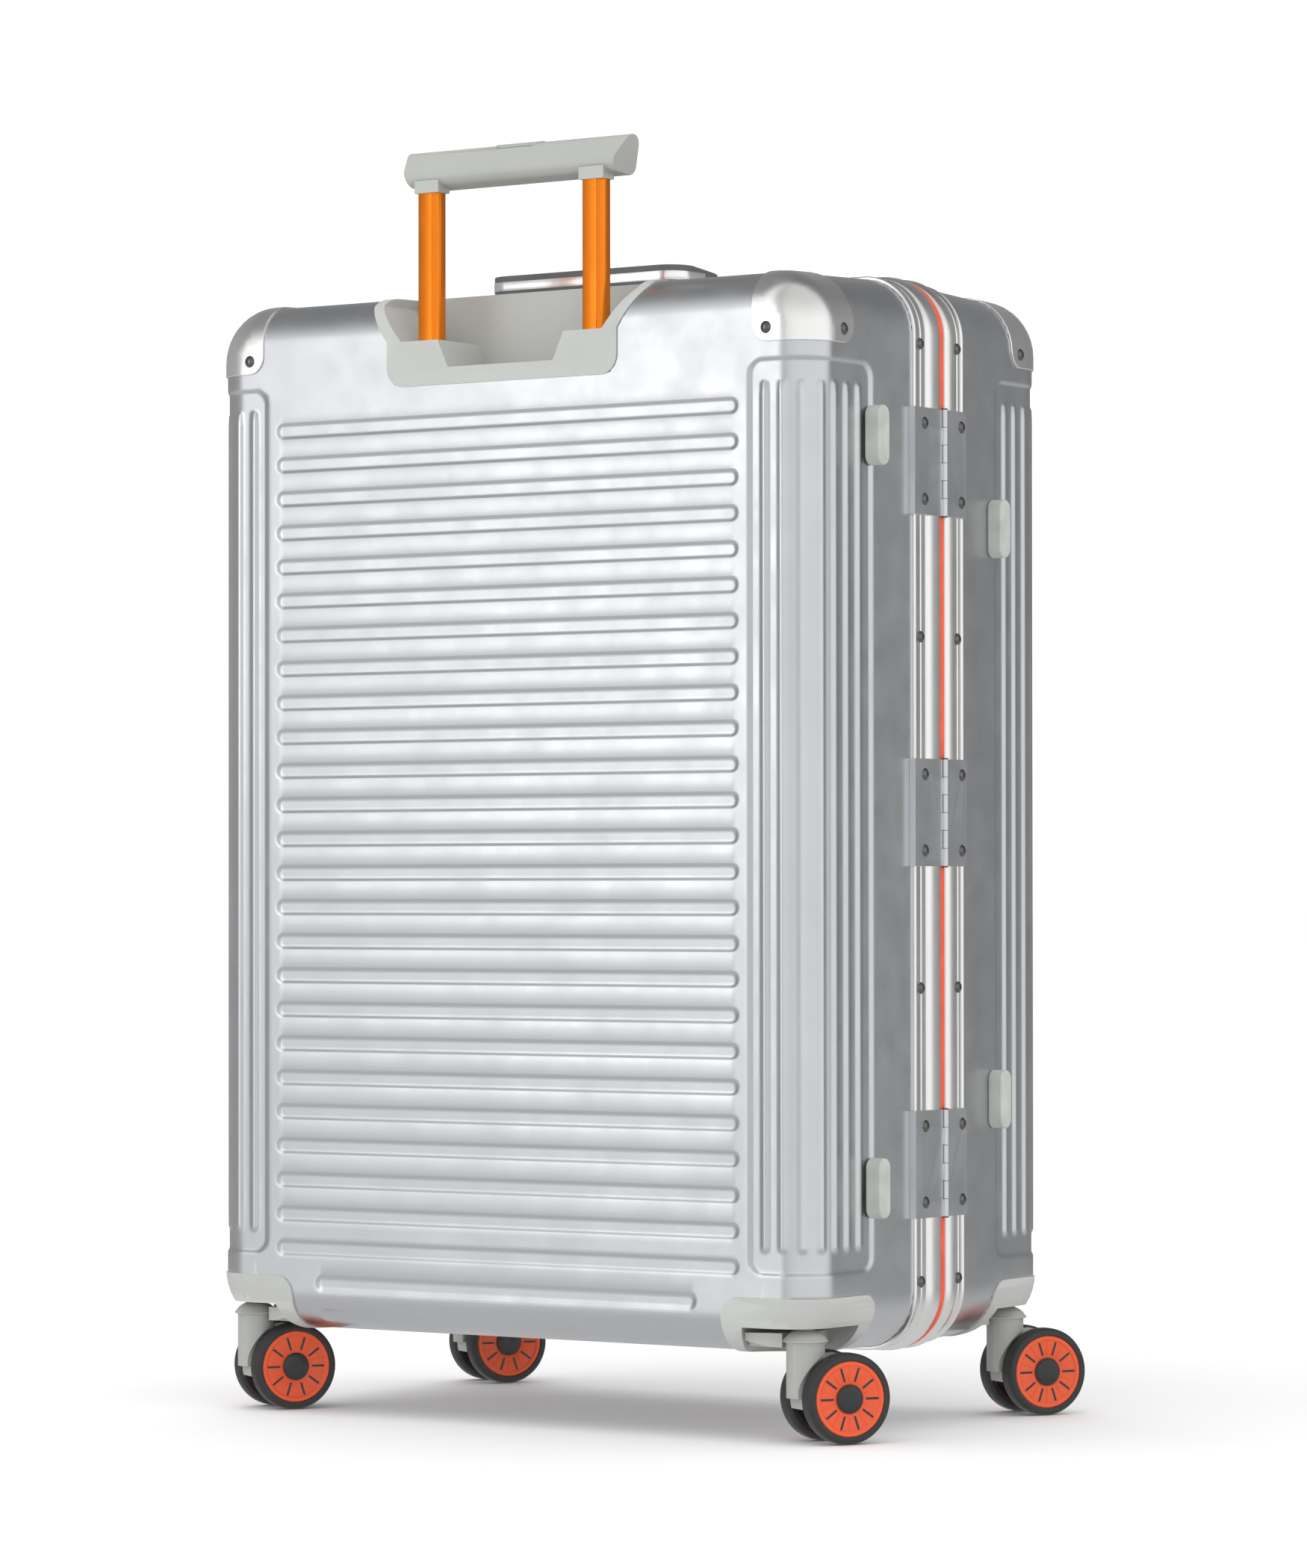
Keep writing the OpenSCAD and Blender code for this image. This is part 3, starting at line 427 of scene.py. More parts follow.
def polished_copy(node, slot, body, rounding=None, finish=None):
    """A copy of a solid with its edges rounded, which stands for that solid."""
    mesh = frame["nodes"][node].data.copy()
    work = bmesh.new()
    work.from_mesh(mesh)
    bmesh.ops.remove_doubles(work, verts=work.verts, dist=2e-6)
    bmesh.ops.dissolve_limit(work, angle_limit=math.radians(1.5), verts=work.verts, edges=work.edges)
    work.to_mesh(mesh)
    work.free()
    piece = add_piece(node + "_finish", mesh, body, slot, (node,), finishes()[finish or slot], sharp=30)
    bevel = piece.modifiers.new("rounded_edges", "BEVEL")
    bevel.width = rounding or bpy.context.scene.suitcase_sizes.edge_round
    bevel.segments = 3
    bevel.limit_method = "ANGLE"
    bevel.angle_limit = math.radians(28)
    bevel.use_clamp_overlap = True
    piece.modifiers.new("even_normals", "WEIGHTED_NORMAL").keep_sharp = True


# ---- Shells ----

def eased(value, low, high):
    """0 below low, 1 above high and a smooth step between them."""
    t = np.clip((value - low) / (high - low), 0, 1)
    return t * t * (3 - 2 * t)


def spaced(low, high, step):
    """Even values from low to high, about a step apart."""
    return list(np.linspace(low, high, max(2, int(round((high - low) / step)) + 1)))


def thinned(values, gap):
    """The values in order, without any that lie closer than gap to the one before."""
    kept = []
    for value in sorted(values):
        if not kept or value - kept[-1] > gap:
            kept.append(value)
    return np.array(kept)


def groove_press(side, u, v):
    """How deep the horizontal grooves are pressed at unfolded face coordinates."""
    sizes = bpy.context.scene.suitcase_sizes
    first = 0 if side == REAR else -SHORT_GROOVES
    index = np.clip(np.round((GROOVE_TOP - v) / GROOVE_PITCH), first, LONG_GROOVES + SHORT_GROOVES - 1)
    centre = GROOVE_TOP - index * GROOVE_PITCH
    half = np.where((index >= 0) & (index < LONG_GROOVES), LONG_HALF, SHORT_HALF) - GROOVE_R
    distance = np.hypot(np.maximum(np.abs(u) - half, 0), v - centre) - GROOVE_R
    return sizes.groove_depth / MM * (1 - eased(distance, -2.2, 0.7))


def panel_press(s, z):
    """How deep the corner panels are pressed; s runs round the corner from its middle."""
    sizes = bpy.context.scene.suitcase_sizes
    half_s, half_z, radius = 53, 294, 10
    middle_s, middle_z = 11, BASE_Z + 348
    ds = np.maximum(np.abs(s - middle_s) - (half_s - radius), 0)
    dz = np.maximum(np.abs(z - middle_z) - (half_z - radius), 0)
    press = sizes.panel_depth / MM * (1 - eased(np.hypot(ds, dz) - radius, -1.8, 1.2))
    flute_half_z, flute_half_w, flute_s, flute_pitch = 281, 4.2, 9.75, 13.5
    for k in range(-3, 4):
        across = (s - flute_s - flute_pitch * k) / flute_half_w
        along = np.maximum(np.abs(z - middle_z) - (flute_half_z - flute_half_w), 0) / flute_half_w
        reach = np.minimum(np.hypot(across, along), 1)
        press -= sizes.flute_height / MM * np.cos(math.pi / 2 * reach) ** 2
    return press


def inside_cup(x, y, z, inset):
    """Which points lie in the opening for the handle cup."""
    drop = np.clip(CUP_FOOT_Z + CUP_R - z, 0, CUP_R)
    half = CUP_HALF_W - CUP_R + np.sqrt(CUP_R ** 2 - drop ** 2)
    flare = np.clip((z - SHELF_Z) / (TOP_Z - 8 - SHELF_Z), 0, 1)
    half = half + flare * (CUP_TOP_HALF_W - CUP_HALF_W) - inset
    corner_x = np.maximum(np.abs(x) - (CUP_TOP_HALF_W - CUP_R), 0)
    corner_y = np.maximum(y - (REAR_Y + CUP_DEPTH - CUP_R), 0)
    return (np.abs(x) < half) & (z > CUP_FOOT_Z + inset) & (np.hypot(corner_x, corner_y) < CUP_R - inset)


def inside_housing(x, y, z, side, inset):
    """Which points lie in the openings for the caster housings."""
    sunk = (y - REAR_Y) if side == REAR else (FRONT_Y - y)
    rise = np.maximum(z - (HOUSING_TOP - HOUSING_R), 0)
    along_x = np.maximum(HALF_W - HOUSING_REACH + HOUSING_R - np.abs(x), 0)
    along_y = np.maximum(sunk - HOUSING_REACH + HOUSING_R, 0)
    radius = HOUSING_R - inset
    return (np.hypot(rise, along_x) < radius) & (np.hypot(rise, along_y) < radius)


def case_rings(side, columns, rows):
    """Rings of points from the flat face's inner rectangle out to the frame, with their normals."""
    a, b = columns[-1], rows[-1] - MID_Z
    corner = [math.radians(90 * i / 8) for i in range(1, 8)]
    ring = [(a, z - MID_Z, 0) for z in rows]
    ring += [(a, b, t) for t in corner]
    ring += [(x, b, math.pi / 2) for x in columns[::-1]]
    ring += [(-a, b, math.pi / 2 + t) for t in corner]
    ring += [(-a, z - MID_Z, math.pi) for z in rows[::-1]]
    ring += [(-a, -b, math.pi + t) for t in corner]
    ring += [(x, -b, 3 * math.pi / 2) for x in columns]
    ring += [(a, -b, 3 * math.pi / 2 + t) for t in corner]
    ring = np.array(ring)
    heading = np.column_stack([np.cos(ring[:, 2]), np.sin(ring[:, 2])])
    face = REAR_Y if side == REAR else FRONT_Y
    frame_edge = abs(SEAM_Y - face) - SHEET_EDGE[side]
    stations = [(r, 0, 0, r, 0) for r in np.linspace(0, FLAT_R, 8)]
    for phi in np.linspace(0, math.pi / 2, 25)[1:]:
        stations.append((FLAT_R + EDGE_R * math.sin(phi), EDGE_R * (1 - math.cos(phi)), phi,
                         FLAT_R + EDGE_R * phi, 0))
    panel_end = EDGE_R + 48
    deep = [*np.linspace(EDGE_R, panel_end, 30)[1:], *np.linspace(panel_end, frame_edge, 6)[1:]]
    for y in deep:
        lean = DRAFT * min(1, (y - EDGE_R) / (frame_edge - 14 - EDGE_R))
        stations.append((CORNER_R, y, math.pi / 2, FLAT_R + BEND_LEN + y - EDGE_R, lean))
    points, normals, unfolded = [], [], []
    for radius, sunk, phi, reach, lean in stations:
        base = ring[:, :2] + lean * np.sign(ring[:, :2]) * (np.abs(ring[:, :2]) >= [a - 1e-6, b - 1e-6])
        flat = base + radius * heading
        level = np.full(len(ring), face - side * sunk)
        points.append(np.column_stack([flat[:, 0], level, flat[:, 1] + MID_Z]))
        spread = heading * math.sin(phi)
        facing = np.full(len(ring), side * math.cos(phi))
        normals.append(np.column_stack([spread[:, 0], facing, spread[:, 1]]))
        unfolded.append(ring[:, :2] + reach * heading + [0, MID_Z])
    arrays = (np.concatenate(stack) for stack in (points, normals, unfolded))
    return *arrays, len(stations), len(ring)


def shell_sheet(side):
    """The pressed aluminium sheet of one half."""
    # The grid is finer where something is pressed or cut
    half_columns = (spaced(0, 88, 8) + spaced(88, 114, 1.5) + spaced(114, 148, 9)
                    + spaced(148, 157, 1.3) + spaced(157, 176, 6) + spaced(176, 192, 1.3)
                    + spaced(192, 199, 2.4) + spaced(199, 207, 1.2))
    inner_w = HALF_W - DRAFT - CORNER_R
    inner_h = HALF_H - DRAFT - CORNER_R
    half_columns = [x for x in thinned(half_columns, 0.5) if x < inner_w - 0.5] + [inner_w]
    columns = np.array([-x for x in half_columns[:0:-1]] + half_columns)
    steps = (-6, -5, -4, -3, -1.8, 0, 1.8, 3, 4, 5, 6)
    rows = [GROOVE_TOP - i * GROOVE_PITCH + step
            for i in range(-SHORT_GROOVES, LONG_GROOVES + SHORT_GROOVES) for step in steps]
    rows += spaced(BASE_Z + 50, BASE_Z + 72, 1.5) + spaced(TOP_Z - 77, TOP_Z - 52, 1.5)
    low, high = MID_Z - inner_h, MID_Z + inner_h
    rows = [low] + [z for z in thinned(rows, 0.7) if low + 0.6 < z < high - 0.6] + [high]
    rows = np.array(rows)
    x, z = np.meshgrid(columns, rows)
    face = REAR_Y if side == REAR else FRONT_Y
    flat = np.column_stack([x.ravel(), np.full(x.size, face), z.ravel()])
    flat_normal = np.tile([0, side, 0], (x.size, 1))
    ring_points, ring_normals, ring_unfolded, ring_rows, ring_len = case_rings(side, columns, rows)
    points = np.concatenate([flat, ring_points])
    normals = np.concatenate([flat_normal, ring_normals])
    u, v = np.concatenate([np.column_stack([x.ravel(), z.ravel()]), ring_unfolded]).T
    s = np.abs(u) - (inner_w + FLAT_R + BEND_LEN / 2)
    press = groove_press(side, u, v) + panel_press(s, v)
    faces = grid_faces(len(rows), len(columns))
    faces += [tuple(i + x.size for i in f) for f in grid_faces(ring_rows, ring_len, closed=True)]
    quads = np.array(faces)
    middle = points[quads].mean(axis=1)
    gone = inside_housing(*middle.T, side, 4)
    if side == REAR:
        gone |= inside_cup(*middle.T, 1.6)
    quads = quads[~gone]
    points = points - normals * press[:, None]
    # Each face is turned to face outwards
    corners = points[quads[:, :3]]
    facing = np.cross(corners[:, 1] - corners[:, 0], corners[:, 2] - corners[:, 1])
    outward = (facing * normals[quads[:, 0]]).sum(axis=1)
    quads[outward < 0] = quads[outward < 0][:, ::-1]
    mesh = fill_mesh("shell", points, quads.tolist(), tidy=False)
    work = bmesh.new()
    work.from_mesh(mesh)
    bmesh.ops.delete(work, geom=[v for v in work.verts if not v.link_faces], context="VERTS")
    work.to_mesh(mesh)
    work.free()
    return mesh


def make_shell(side):
    label = "rear" if side == REAR else "front"
    piece = add_piece(label + "_shell_sheet", shell_sheet(side), "root" if side == REAR else "front_half",
                      "shell_aluminium", (label + "_shell",), sharp=60)
    sheet = piece.modifiers.new("sheet", "SOLIDIFY")
    sheet.thickness = bpy.context.scene.suitcase_sizes.sheet_thickness
    sheet.offset = -1


class BuildShells(bpy.types.Operator):
    """Builds the two pressed aluminium shells"""
    bl_idname = "suitcase.build_shells"
    bl_label = "Shells"

    def execute(self, context):
        make_shell(REAR)
        make_shell(FRONT)
        return {"FINISHED"}


# ---- Frames and seal ----

def bead(start, crest, end, foot, crown):
    """Points of a bead that rises gently to its crest and turns down in a small round edge."""
    rise = [(start + (crest - start) * (1 - math.cos(math.pi / 2 * i / 8)),
             foot + (crown - foot) * math.sin(math.pi / 2 * i / 8)) for i in range(8)]
    fall = [(crest + (end - crest) * math.sin(math.pi / 2 * i / 4),
             foot + (crown - foot) * math.cos(math.pi / 2 * i / 4)) for i in range(5)]
    return rise + fall


# Profiles of (distance from the seam, height over the shell)
REAR_FRAME = [
    (-32.7, 0.02), (-32.75, 1.3), (-32.4, 1.8), (-31.8, 2.0), (-31.2, 1.8), (-30.7, 1.2), (-30.2, 1.0),
    (-25.2, 1.0), (-24.8, 1.35), (-24.2, 1.5), (-23.6, 1.35), (-23.2, 1.0), (-19.2, 1.0), (-18.2, 1.1),
] + bead(-17.8, -5.2, -3.3, 1.4, 3.7) + [(-3.15, 0.6), (-3.15, -3.9), (-17.3, -3.9), (-17.4, 0.02)]
FRONT_FRAME = [(3.15, -3.9), (3.15, 0.7), (3.4, 1.2), (4.3, 1.3), (4.8, 1.4)] + bead(
    5.0, 13.2, 15.0, 1.4, 3.6
) + [
    (15.6, 1.05), (20.9, 1.0), (21.3, 1.35), (21.9, 1.5), (22.5, 1.35), (22.9, 1.0), (26.4, 1.0),
    (27.0, 1.3), (27.6, 1.75), (28.2, 1.7), (28.6, 1.2), (28.65, 0.02), (15.2, 0.02), (15.1, -3.9),
]
SEAL = [(-3, -1.9), (-3.05, 1.0), (-2.8, 1.9), (-2.1, 2.6), (-1.1, 3.0), (0, 3.1), (1.1, 3.0), (2.1, 2.6),
        (2.8, 1.9), (3.05, 1.0), (3, -1.9)]


class BuildFrames(bpy.types.Operator):
    """Builds the two frames and the seal between them"""
    bl_idname = "suitcase.build_frames"
    bl_label = "Frames and Seal"

    def execute(self, context):
        for name, profile, body, slot, node in (
            ("rear_frame_ring", REAR_FRAME, "root", "frame_aluminium", "rear_frame"),
            ("front_frame_ring", FRONT_FRAME, "front_half", "frame_aluminium", "front_frame"),
            ("seal_ring", SEAL, "root", "seal_rubber", "frame_seal"),
        ):
            add_piece(name, fill_mesh(name, *sweep_case(profile)), body, slot, (node,), sharp=40)
        return {"FINISHED"}


# ---- Caps, hinges, rivets and feet ----

class BuildFittings(bpy.types.Operator):
    """Builds the corner caps, hinge leaves and pins, and the side feet"""
    bl_idname = "suitcase.build_fittings"
    bl_label = "Caps, Hinges and Feet"

    def execute(self, context):
        for label, body in (("rear", "root"), ("front", "front_half")):
            polished_copy(label + "_corner_caps", "frame_aluminium", body, 0.7 * MM)
            polished_copy(label + "_hinge_leaves", "frame_aluminium", body, 0.5 * MM,
                          finish="shell_aluminium")
            polished_copy(label + "_side_feet", "foot_rubber", body, 1.1 * MM)
        polished_copy("hinge_pins", "rivet_steel", "root", 0.25 * MM)
        return {"FINISHED"}


# Profile of (radius, height) of a domed head with a fine groove inside its rim
RIVET = [(0, 1.75), (0.8, 1.72), (1.6, 1.6), (2.3, 1.38), (2.9, 1.06), (3.35, 0.68), (3.6, 0.34), (3.7, 0.1),
         (3.85, 0.16), (4.0, 0.08), (4.05, -0.1), (4.05, -0.4), (0, -0.4)]


def rivet_places(side):
    """Matrices that put a rivet, which stands up along Z, on one half."""
    row = SEAM_Y + side * (24.2 if side == REAR else 21.9)
    face = REAR_Y if side == REAR else FRONT_Y
    # Heights of the band, the hinge leaf and the corner cap over the shell, and the cap rivets' places
    band, leaf, cap = 1.1, 4.4, 1.2
    cap_in, cap_down = 37, 41
    free = abs(face - SEAM_Y) - FRAME_EDGE[side]
    lean = DRAFT * (free - cap_in) / (free - EDGE_R)
    places = []
    for sx in (-1, 1):
        turn = Matrix.Rotation(math.pi / 2 * sx, 4, "Y")
        for z in (-307.5, -115.2, 115.2, 307.5):
            places.append(Matrix.Translation((sx * (HALF_W + band), row, MID_Z + z)) @ turn)
        places.append(Matrix.Translation(
            (sx * (HALF_W - lean + cap), face - side * cap_in, TOP_Z - cap_down)) @ turn)
        places.append(Matrix.Translation((sx * (HALF_W - cap_in), face + side * cap, TOP_Z - cap_down))
                      @ Matrix.Rotation(-math.pi / 2 * side, 4, "X"))
    for sz in (1, -1):
        for x in (-185, 185):
            places.append(Matrix.Translation((x, row, MID_Z + sz * (HALF_H + band)))
                          @ Matrix.Rotation(0 if sz > 0 else math.pi, 4, "X"))
    for z in (-230.5, 0, 230.5):
        for dz in (-25, 25):
            places.append(Matrix.Translation((HALF_W + leaf, row, MID_Z + z + dz))
                          @ Matrix.Rotation(math.pi / 2, 4, "Y"))
    return places


class BuildRivets(bpy.types.Operator):
    """Builds the domed rivets of the frames, hinges and corner caps"""
    bl_idname = "suitcase.build_rivets"
    bl_label = "Rivets"

    def execute(self, context):
        for label, side, body in (("rear", REAR, "root"), ("front", FRONT, "front_half")):
            head = lathe(RIVET, 24)
            part = join([moved(head, place) for place in rivet_places(side)])
            add_piece(label + "_rivet_heads", fill_mesh("rivets", *part), body, "rivet_steel",
                      (label + "_rivets",), sharp=50)
        return {"FINISHED"}


# ---- Pull handle ----

class BuildPullHandle(bpy.types.Operator):
    """Builds the cup, the telescopic tubes, the grip and its push button"""
    bl_idname = "suitcase.build_pull_handle"
    bl_label = "Pull Handle"

    def execute(self, context):
        polished_copy("handle_cup", "cup_plastic", "root", 0.8 * MM)
        polished_copy("handle_grip", "cup_plastic", "pull_handle", 1.2 * MM, finish="grip_plastic")
        polished_copy("grip_button", "cup_plastic", "grip_button", 0.8 * MM, finish="grip_plastic")
        low, high = (np.array(corner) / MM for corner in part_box("inner_tubes"))
        centre_y = (low[1] + high[1]) / 2
        # A flat face, a groove beside it and a rounded edge
        section = [(-8.5, -3.2), (-8.3, -4.1), (-7.8, -4.7), (-7.0, -5), (3.2, -5), (3.5, -4.5), (3.9, -4.3),
                   (4.3, -4.5), (4.6, -5)]
        section += [(4.6 + 3.9 * math.sin(math.radians(a)), -1.1 - 3.9 * math.cos(math.radians(a)))
                    for a in range(15, 91, 15)]
        section += [(-x, -y) for x, y in section]
        tube_x = high[0] - 8.5
        tubes = [prism(np.array(section) + [x, centre_y], low[2], high[2]) for x in (-tube_x, tube_x)]
        add_piece("tube_sections", fill_mesh("tubes", *join(tubes)), "pull_handle", "tube_anodised",
                  ("inner_tubes",), sharp=35)
        for node, slot in (("middle_tubes", "tube_anodised"), ("guide_tubes", "guide_metal"),
                           ("tube_bracket", "guide_metal")):
            polished_copy(node, slot, "middle_tubes" if node == "middle_tubes" else "root", 0.25 * MM)
        return {"FINISHED"}


# ---- Carry handles and latches ----

# Height over the shell of the frames' beads, which the carry handles stand on
BEAD_H = 3


def inlay_strip():
    """The bright strip let into the outside of a carry handle, in the top handle's place."""
    half, reach, radius, tail = 79, 58.7, 16, 18
    back = SEAM_Y - reach
    path = [(-half, back + radius + tail, -1, 0)]
    for turn in range(2):
        centre = (-half + radius if turn == 0 else half - radius, back + radius)
        for i in range(9):
            a = math.pi + math.pi / 2 * (turn + i / 8)
            path.append((centre[0] + radius * math.cos(a), centre[1] + radius * math.sin(a),
                         math.cos(a), math.sin(a)))
    path.append((half, back + radius + tail, 1, 0))
    low = TOP_Z + BEAD_H + 3.4
    high = TOP_Z + BEAD_H + 9.6
    section = [(-0.4, low), (0.2, low), (0.35, low + 0.3), (0.35, high - 0.3), (0.2, high), (-0.4, high)]
    rings = [[(x + nx * out, y + ny * out, z) for x, y, nx, ny in path] for out, z in section]
    points = np.array(rings).transpose(1, 0, 2).reshape(-1, 3)
    faces = grid_faces(len(path), len(section), closed=True)
    return points, faces + end_faces(len(path), len(section))


def to_latch_side():
    """Carries what is drawn on the top handle to the side handle."""
    return (Matrix.Translation((-HALF_W - BEAD_H, 0, MID_Z)) @ Matrix.Rotation(-math.pi / 2, 4, "Y")
            @ Matrix.Translation((0, 0, -TOP_Z - BEAD_H)))


class BuildCarryHandles(bpy.types.Operator):
    """Builds the folding carry handles on the top and on the latch side"""
    bl_idname = "suitcase.build_carry_handles"
    bl_label = "Carry Handles"

    def execute(self, context):
        for node in ("top_handle", "side_handle"):
            polished_copy(node, "handle_plastic", node, 1.3 * MM)
            strip = inlay_strip()
            if node == "side_handle":
                strip = moved(strip, to_latch_side())
            add_piece(node + "_inlay", fill_mesh("inlay", *strip), node, "frame_aluminium", sharp=40)
        polished_copy("handle_brackets", "handle_plastic", "root")
        return {"FINISHED"}


class BuildLatches(bpy.types.Operator):
    """Builds the two latches opposite the hinges"""
    bl_idname = "suitcase.build_latches"
    bl_label = "Latches"

    def execute(self, context):
        polished_copy("latch_plates", "latch_metal", "front_half", 0.5 * MM)
        polished_copy("latch_keepers", "latch_metal", "root", 0.5 * MM)
        for lever in ("upper_latch_lever", "lower_latch_lever"):
            polished_copy(lever, "latch_metal", lever)
        return {"FINISHED"}


# ---- Casters ----

# Profiles of (radius, height); the wheels' run along the axle and the dome's above the floor
TYRE = [(24.2, -5.6), (24.5, -6.4), (25.3, -6.75), (26.6, -6.75), (27.8, -6.4), (28.8, -5.5), (29.35, -4.2),
        (29.5, -2.4), (29.5, 2.4), (29.35, 4.2), (28.8, 5.5), (27.8, 6.4), (26.6, 6.75), (25.3, 6.75),
        (24.5, 6.4), (24.2, 5.6), (24.2, -5.6)]
DISC = [(3.2, -5.0), (9.8, -5.0), (10.3, -5.3), (20.9, -5.5), (21.5, -6.1), (22.2, -6.4), (23.7, -6.4),
        (24.3, -5.9), (24.3, 5.9), (23.7, 6.4), (22.2, 6.4), (21.5, 6.1), (20.9, 5.5), (10.3, 5.3),
        (9.8, 5.0), (3.2, 5.0), (3.2, -5.0)]
INNER_FACE = [(3.2, 5.0), (3.2, 6.5), (8, 6.5), (9, 6.1), (20, 6.1), (21, 6.55), (23.9, 6.55), (24.1, 6.2),
              (24.1, 5.0), (3.2, 5.0)]
HUB_CAP = [(0, 7.1), (4, 7.05), (7.5, 6.8), (8.8, 6.4), (9.3, 5.8), (9.3, 4.6), (0, 4.6)]
STEM_DOME = [(0, 73.9), (3.5, 73.6), (7, 72.7), (10, 71.2), (12.2, 69.4), (13.6, 67.6), (14.3, 66.6),
             (14.7, 66.3), (14.7, 65.8), (14.2, 65.5), (12.6, 65.3), (12.6, 64.5), (0, 64.5)]
WHEEL_STEPS = 96
WHEEL_OFFSET = 16
POCKET_STEPS = 120


def bar(inner, outer, inner_w, outer_w, low, high):
    """A radial bar with rounded ends, along X between two radii."""
    ends = ((inner, inner_w), (outer, outer_w))
    outline = [(r + side * w * k, side * turn * w * m) for (r, w), side in zip(ends, (-1, 1))
               for turn, k, m in ((1, 0, 0.5), (1, 0.3, 0.3), (-1, 0.3, 0.3), (-1, 0, 0.5))]
    return prism(outline, low, high)


def spin(part, count, offset=0.0):
    """Copies of a part turned evenly about Z."""
    return [moved(part, Matrix.Rotation(2 * math.pi * (i + offset) / count, 4, "Z")) for i in range(count)]


def caster_frames(name):
    """The caster's own frame, whose Z is the swivel's axis, and its axle's centre and directions."""
    stem = Vector(JOINTS[name + "_swivel"]["pos_m"]) / MM
    axle = Vector(JOINTS[name + "_roll_a"]["pos_m"]) / MM
    along = Vector((axle.x - stem.x, axle.y - stem.y, 0))
    across = Vector((-along.y, along.x, 0)).normalized()
    foot = Vector((stem.x, stem.y, 0))
    base = Matrix.Translation(foot) @ Matrix.Rotation(math.atan2(along.y, along.x), 4, "Z")
    return base, foot + along + Vector((0, 0, axle.z)), along.normalized(), across


def inside_corner(x, y, z, side, inset):
    """Which points lie inside the case's rounded form near its underside, set in by inset."""
    sunk = (y - REAR_Y) if side == REAR else (FRONT_Y - y)
    bend = EDGE_R - inset
    radius = FLAT_R + np.sqrt(np.clip(bend ** 2 - np.maximum(EDGE_R - sunk, 0) ** 2, 0, None))
    across = np.maximum(np.abs(x) - (HALF_W - CORNER_R), 0)
    down = np.maximum(BASE_Z + CORNER_R - z, 0)
    return (np.hypot(across, down) < radius) & (sunk > inset)


def pocket_ledge(name, side):
    """The ledge that lines the upper part of a housing's pocket, round the swivel."""
    stem = Vector(JOINTS[name + "_swivel"]["pos_m"]) / MM
    inner, outer, step = 15.6, 40.6, 0.2
    section = [(-0.9, BASE_Z + 15.5), (-0.9, BASE_Z + 11.6), (-0.2, BASE_Z + 11), (3.4, BASE_Z + 10.6),
               (3.8, BASE_Z + 10.2), (3.8, BASE_Z + 6.8), (4.2, BASE_Z + 6.4)]
    turns = np.linspace(0, 2 * math.pi, POCKET_STEPS + 1)
    radii = np.arange(inner, outer + step / 2, step)
    rims = []
    for inset, z in section:
        x = stem.x + np.outer(np.cos(turns), radii)
        y = stem.y + np.outer(np.sin(turns), radii)
        hit = inside_corner(x, y, np.full_like(x, z), side, inset)
        rims.append(inner + step * np.minimum.accumulate(hit, axis=1).sum(axis=1))
    rims = np.minimum(np.array(rims), outer)
    # The ledge leaves out the part where the swivel's dome stands in the opening
    open_turns = rims.min(axis=0) > inner + 1.5
    start = int(np.argmin(open_turns))
    order = [(start + i) % POCKET_STEPS for i in range(POCKET_STEPS + 1)]
    kept = [i for i in order if open_turns[i]]
    rings = []
    for i in kept:
        a = turns[i]
        loop = [(rims[k][i], z) for k, (_, z) in enumerate(section)]
        loop += [(inner, section[-1][1]), (inner, section[0][1])]
        rings += [(stem.x + r * math.cos(a), stem.y + r * math.sin(a), z) for r, z in loop]
    count = len(section) + 2
    faces = grid_faces(len(kept), count, closed=True)
    return np.array(rings), faces + end_faces(len(kept), count)


def make_caster(name, half_body):
    base, axle, along, across = caster_frames(name)
    polished_copy(name + "_housing", "cup_plastic", half_body, 0.7 * MM)
    ledge = pocket_ledge(name, REAR if half_body == "root" else FRONT)
    add_piece(name + "_pocket_ledge", fill_mesh("ledge", *ledge), half_body, "cup_plastic", sharp=35)
    polished_copy(name + "_fork", "cup_plastic", name + "_caster", finish="grip_plastic")
    polished_copy(name + "_axle", "axle_steel", name + "_caster", 0.4 * MM)
    dome = moved(lathe(STEM_DOME, 48), base)
    add_piece(name + "_stem_dome", fill_mesh("dome", *dome), name + "_caster", "cup_plastic", sharp=45,
              material=finishes()["grip_plastic"])
    fine_ribs = spin(bar(11.5, 20.4, 0.5, 0.5, 5.0, 5.75), 10, 0.5)
    slots = spin(bar(11.9, 20.3, 1.3, 1.5, 5.0, 5.6), 10)
    inner = moved(lathe(INNER_FACE, WHEEL_STEPS), Matrix.Rotation(math.pi, 4, "X"))
    for letter, end in (("a", -1), ("b", 1)):
        # The wheel is drawn about Z with its outer side up, and then laid over on its axle
        up = across * end
        turn = Matrix((along, up.cross(along), up)).transposed().to_4x4()
        place = Matrix.Translation(axle + up * WHEEL_OFFSET) @ turn
        body = name + "_wheel_" + letter
        tyre = moved(lathe(TYRE, WHEEL_STEPS), place)
        add_piece(body + "_tread", fill_mesh("tyre", *tyre), body, "tyre_rubber",
                  (name + "_tyre_" + letter,), sharp=40)
        disc = moved(join([lathe(DISC, WHEEL_STEPS)] + fine_ribs), place)
        add_piece(body + "_disc", fill_mesh("disc", *disc), body, "disc_plastic", (body,), sharp=35)
        hub = moved(join([lathe(HUB_CAP, 48), inner] + slots), place)
        add_piece(body + "_hub", fill_mesh("hub", *hub), body, "disc_plastic", sharp=35,
                  material=finishes()["hub_plastic"])


class BuildCasters(bpy.types.Operator):
    """Builds the four twin-wheel casters and their housings"""
    bl_idname = "suitcase.build_casters"
    bl_label = "Casters"

    def execute(self, context):
        for label, body in (("rear", "root"), ("front", "front_half")):
            for hand in ("right", "left"):
                make_caster(label + "_" + hand, body)
        return {"FINISHED"}


# ---- Interior ----

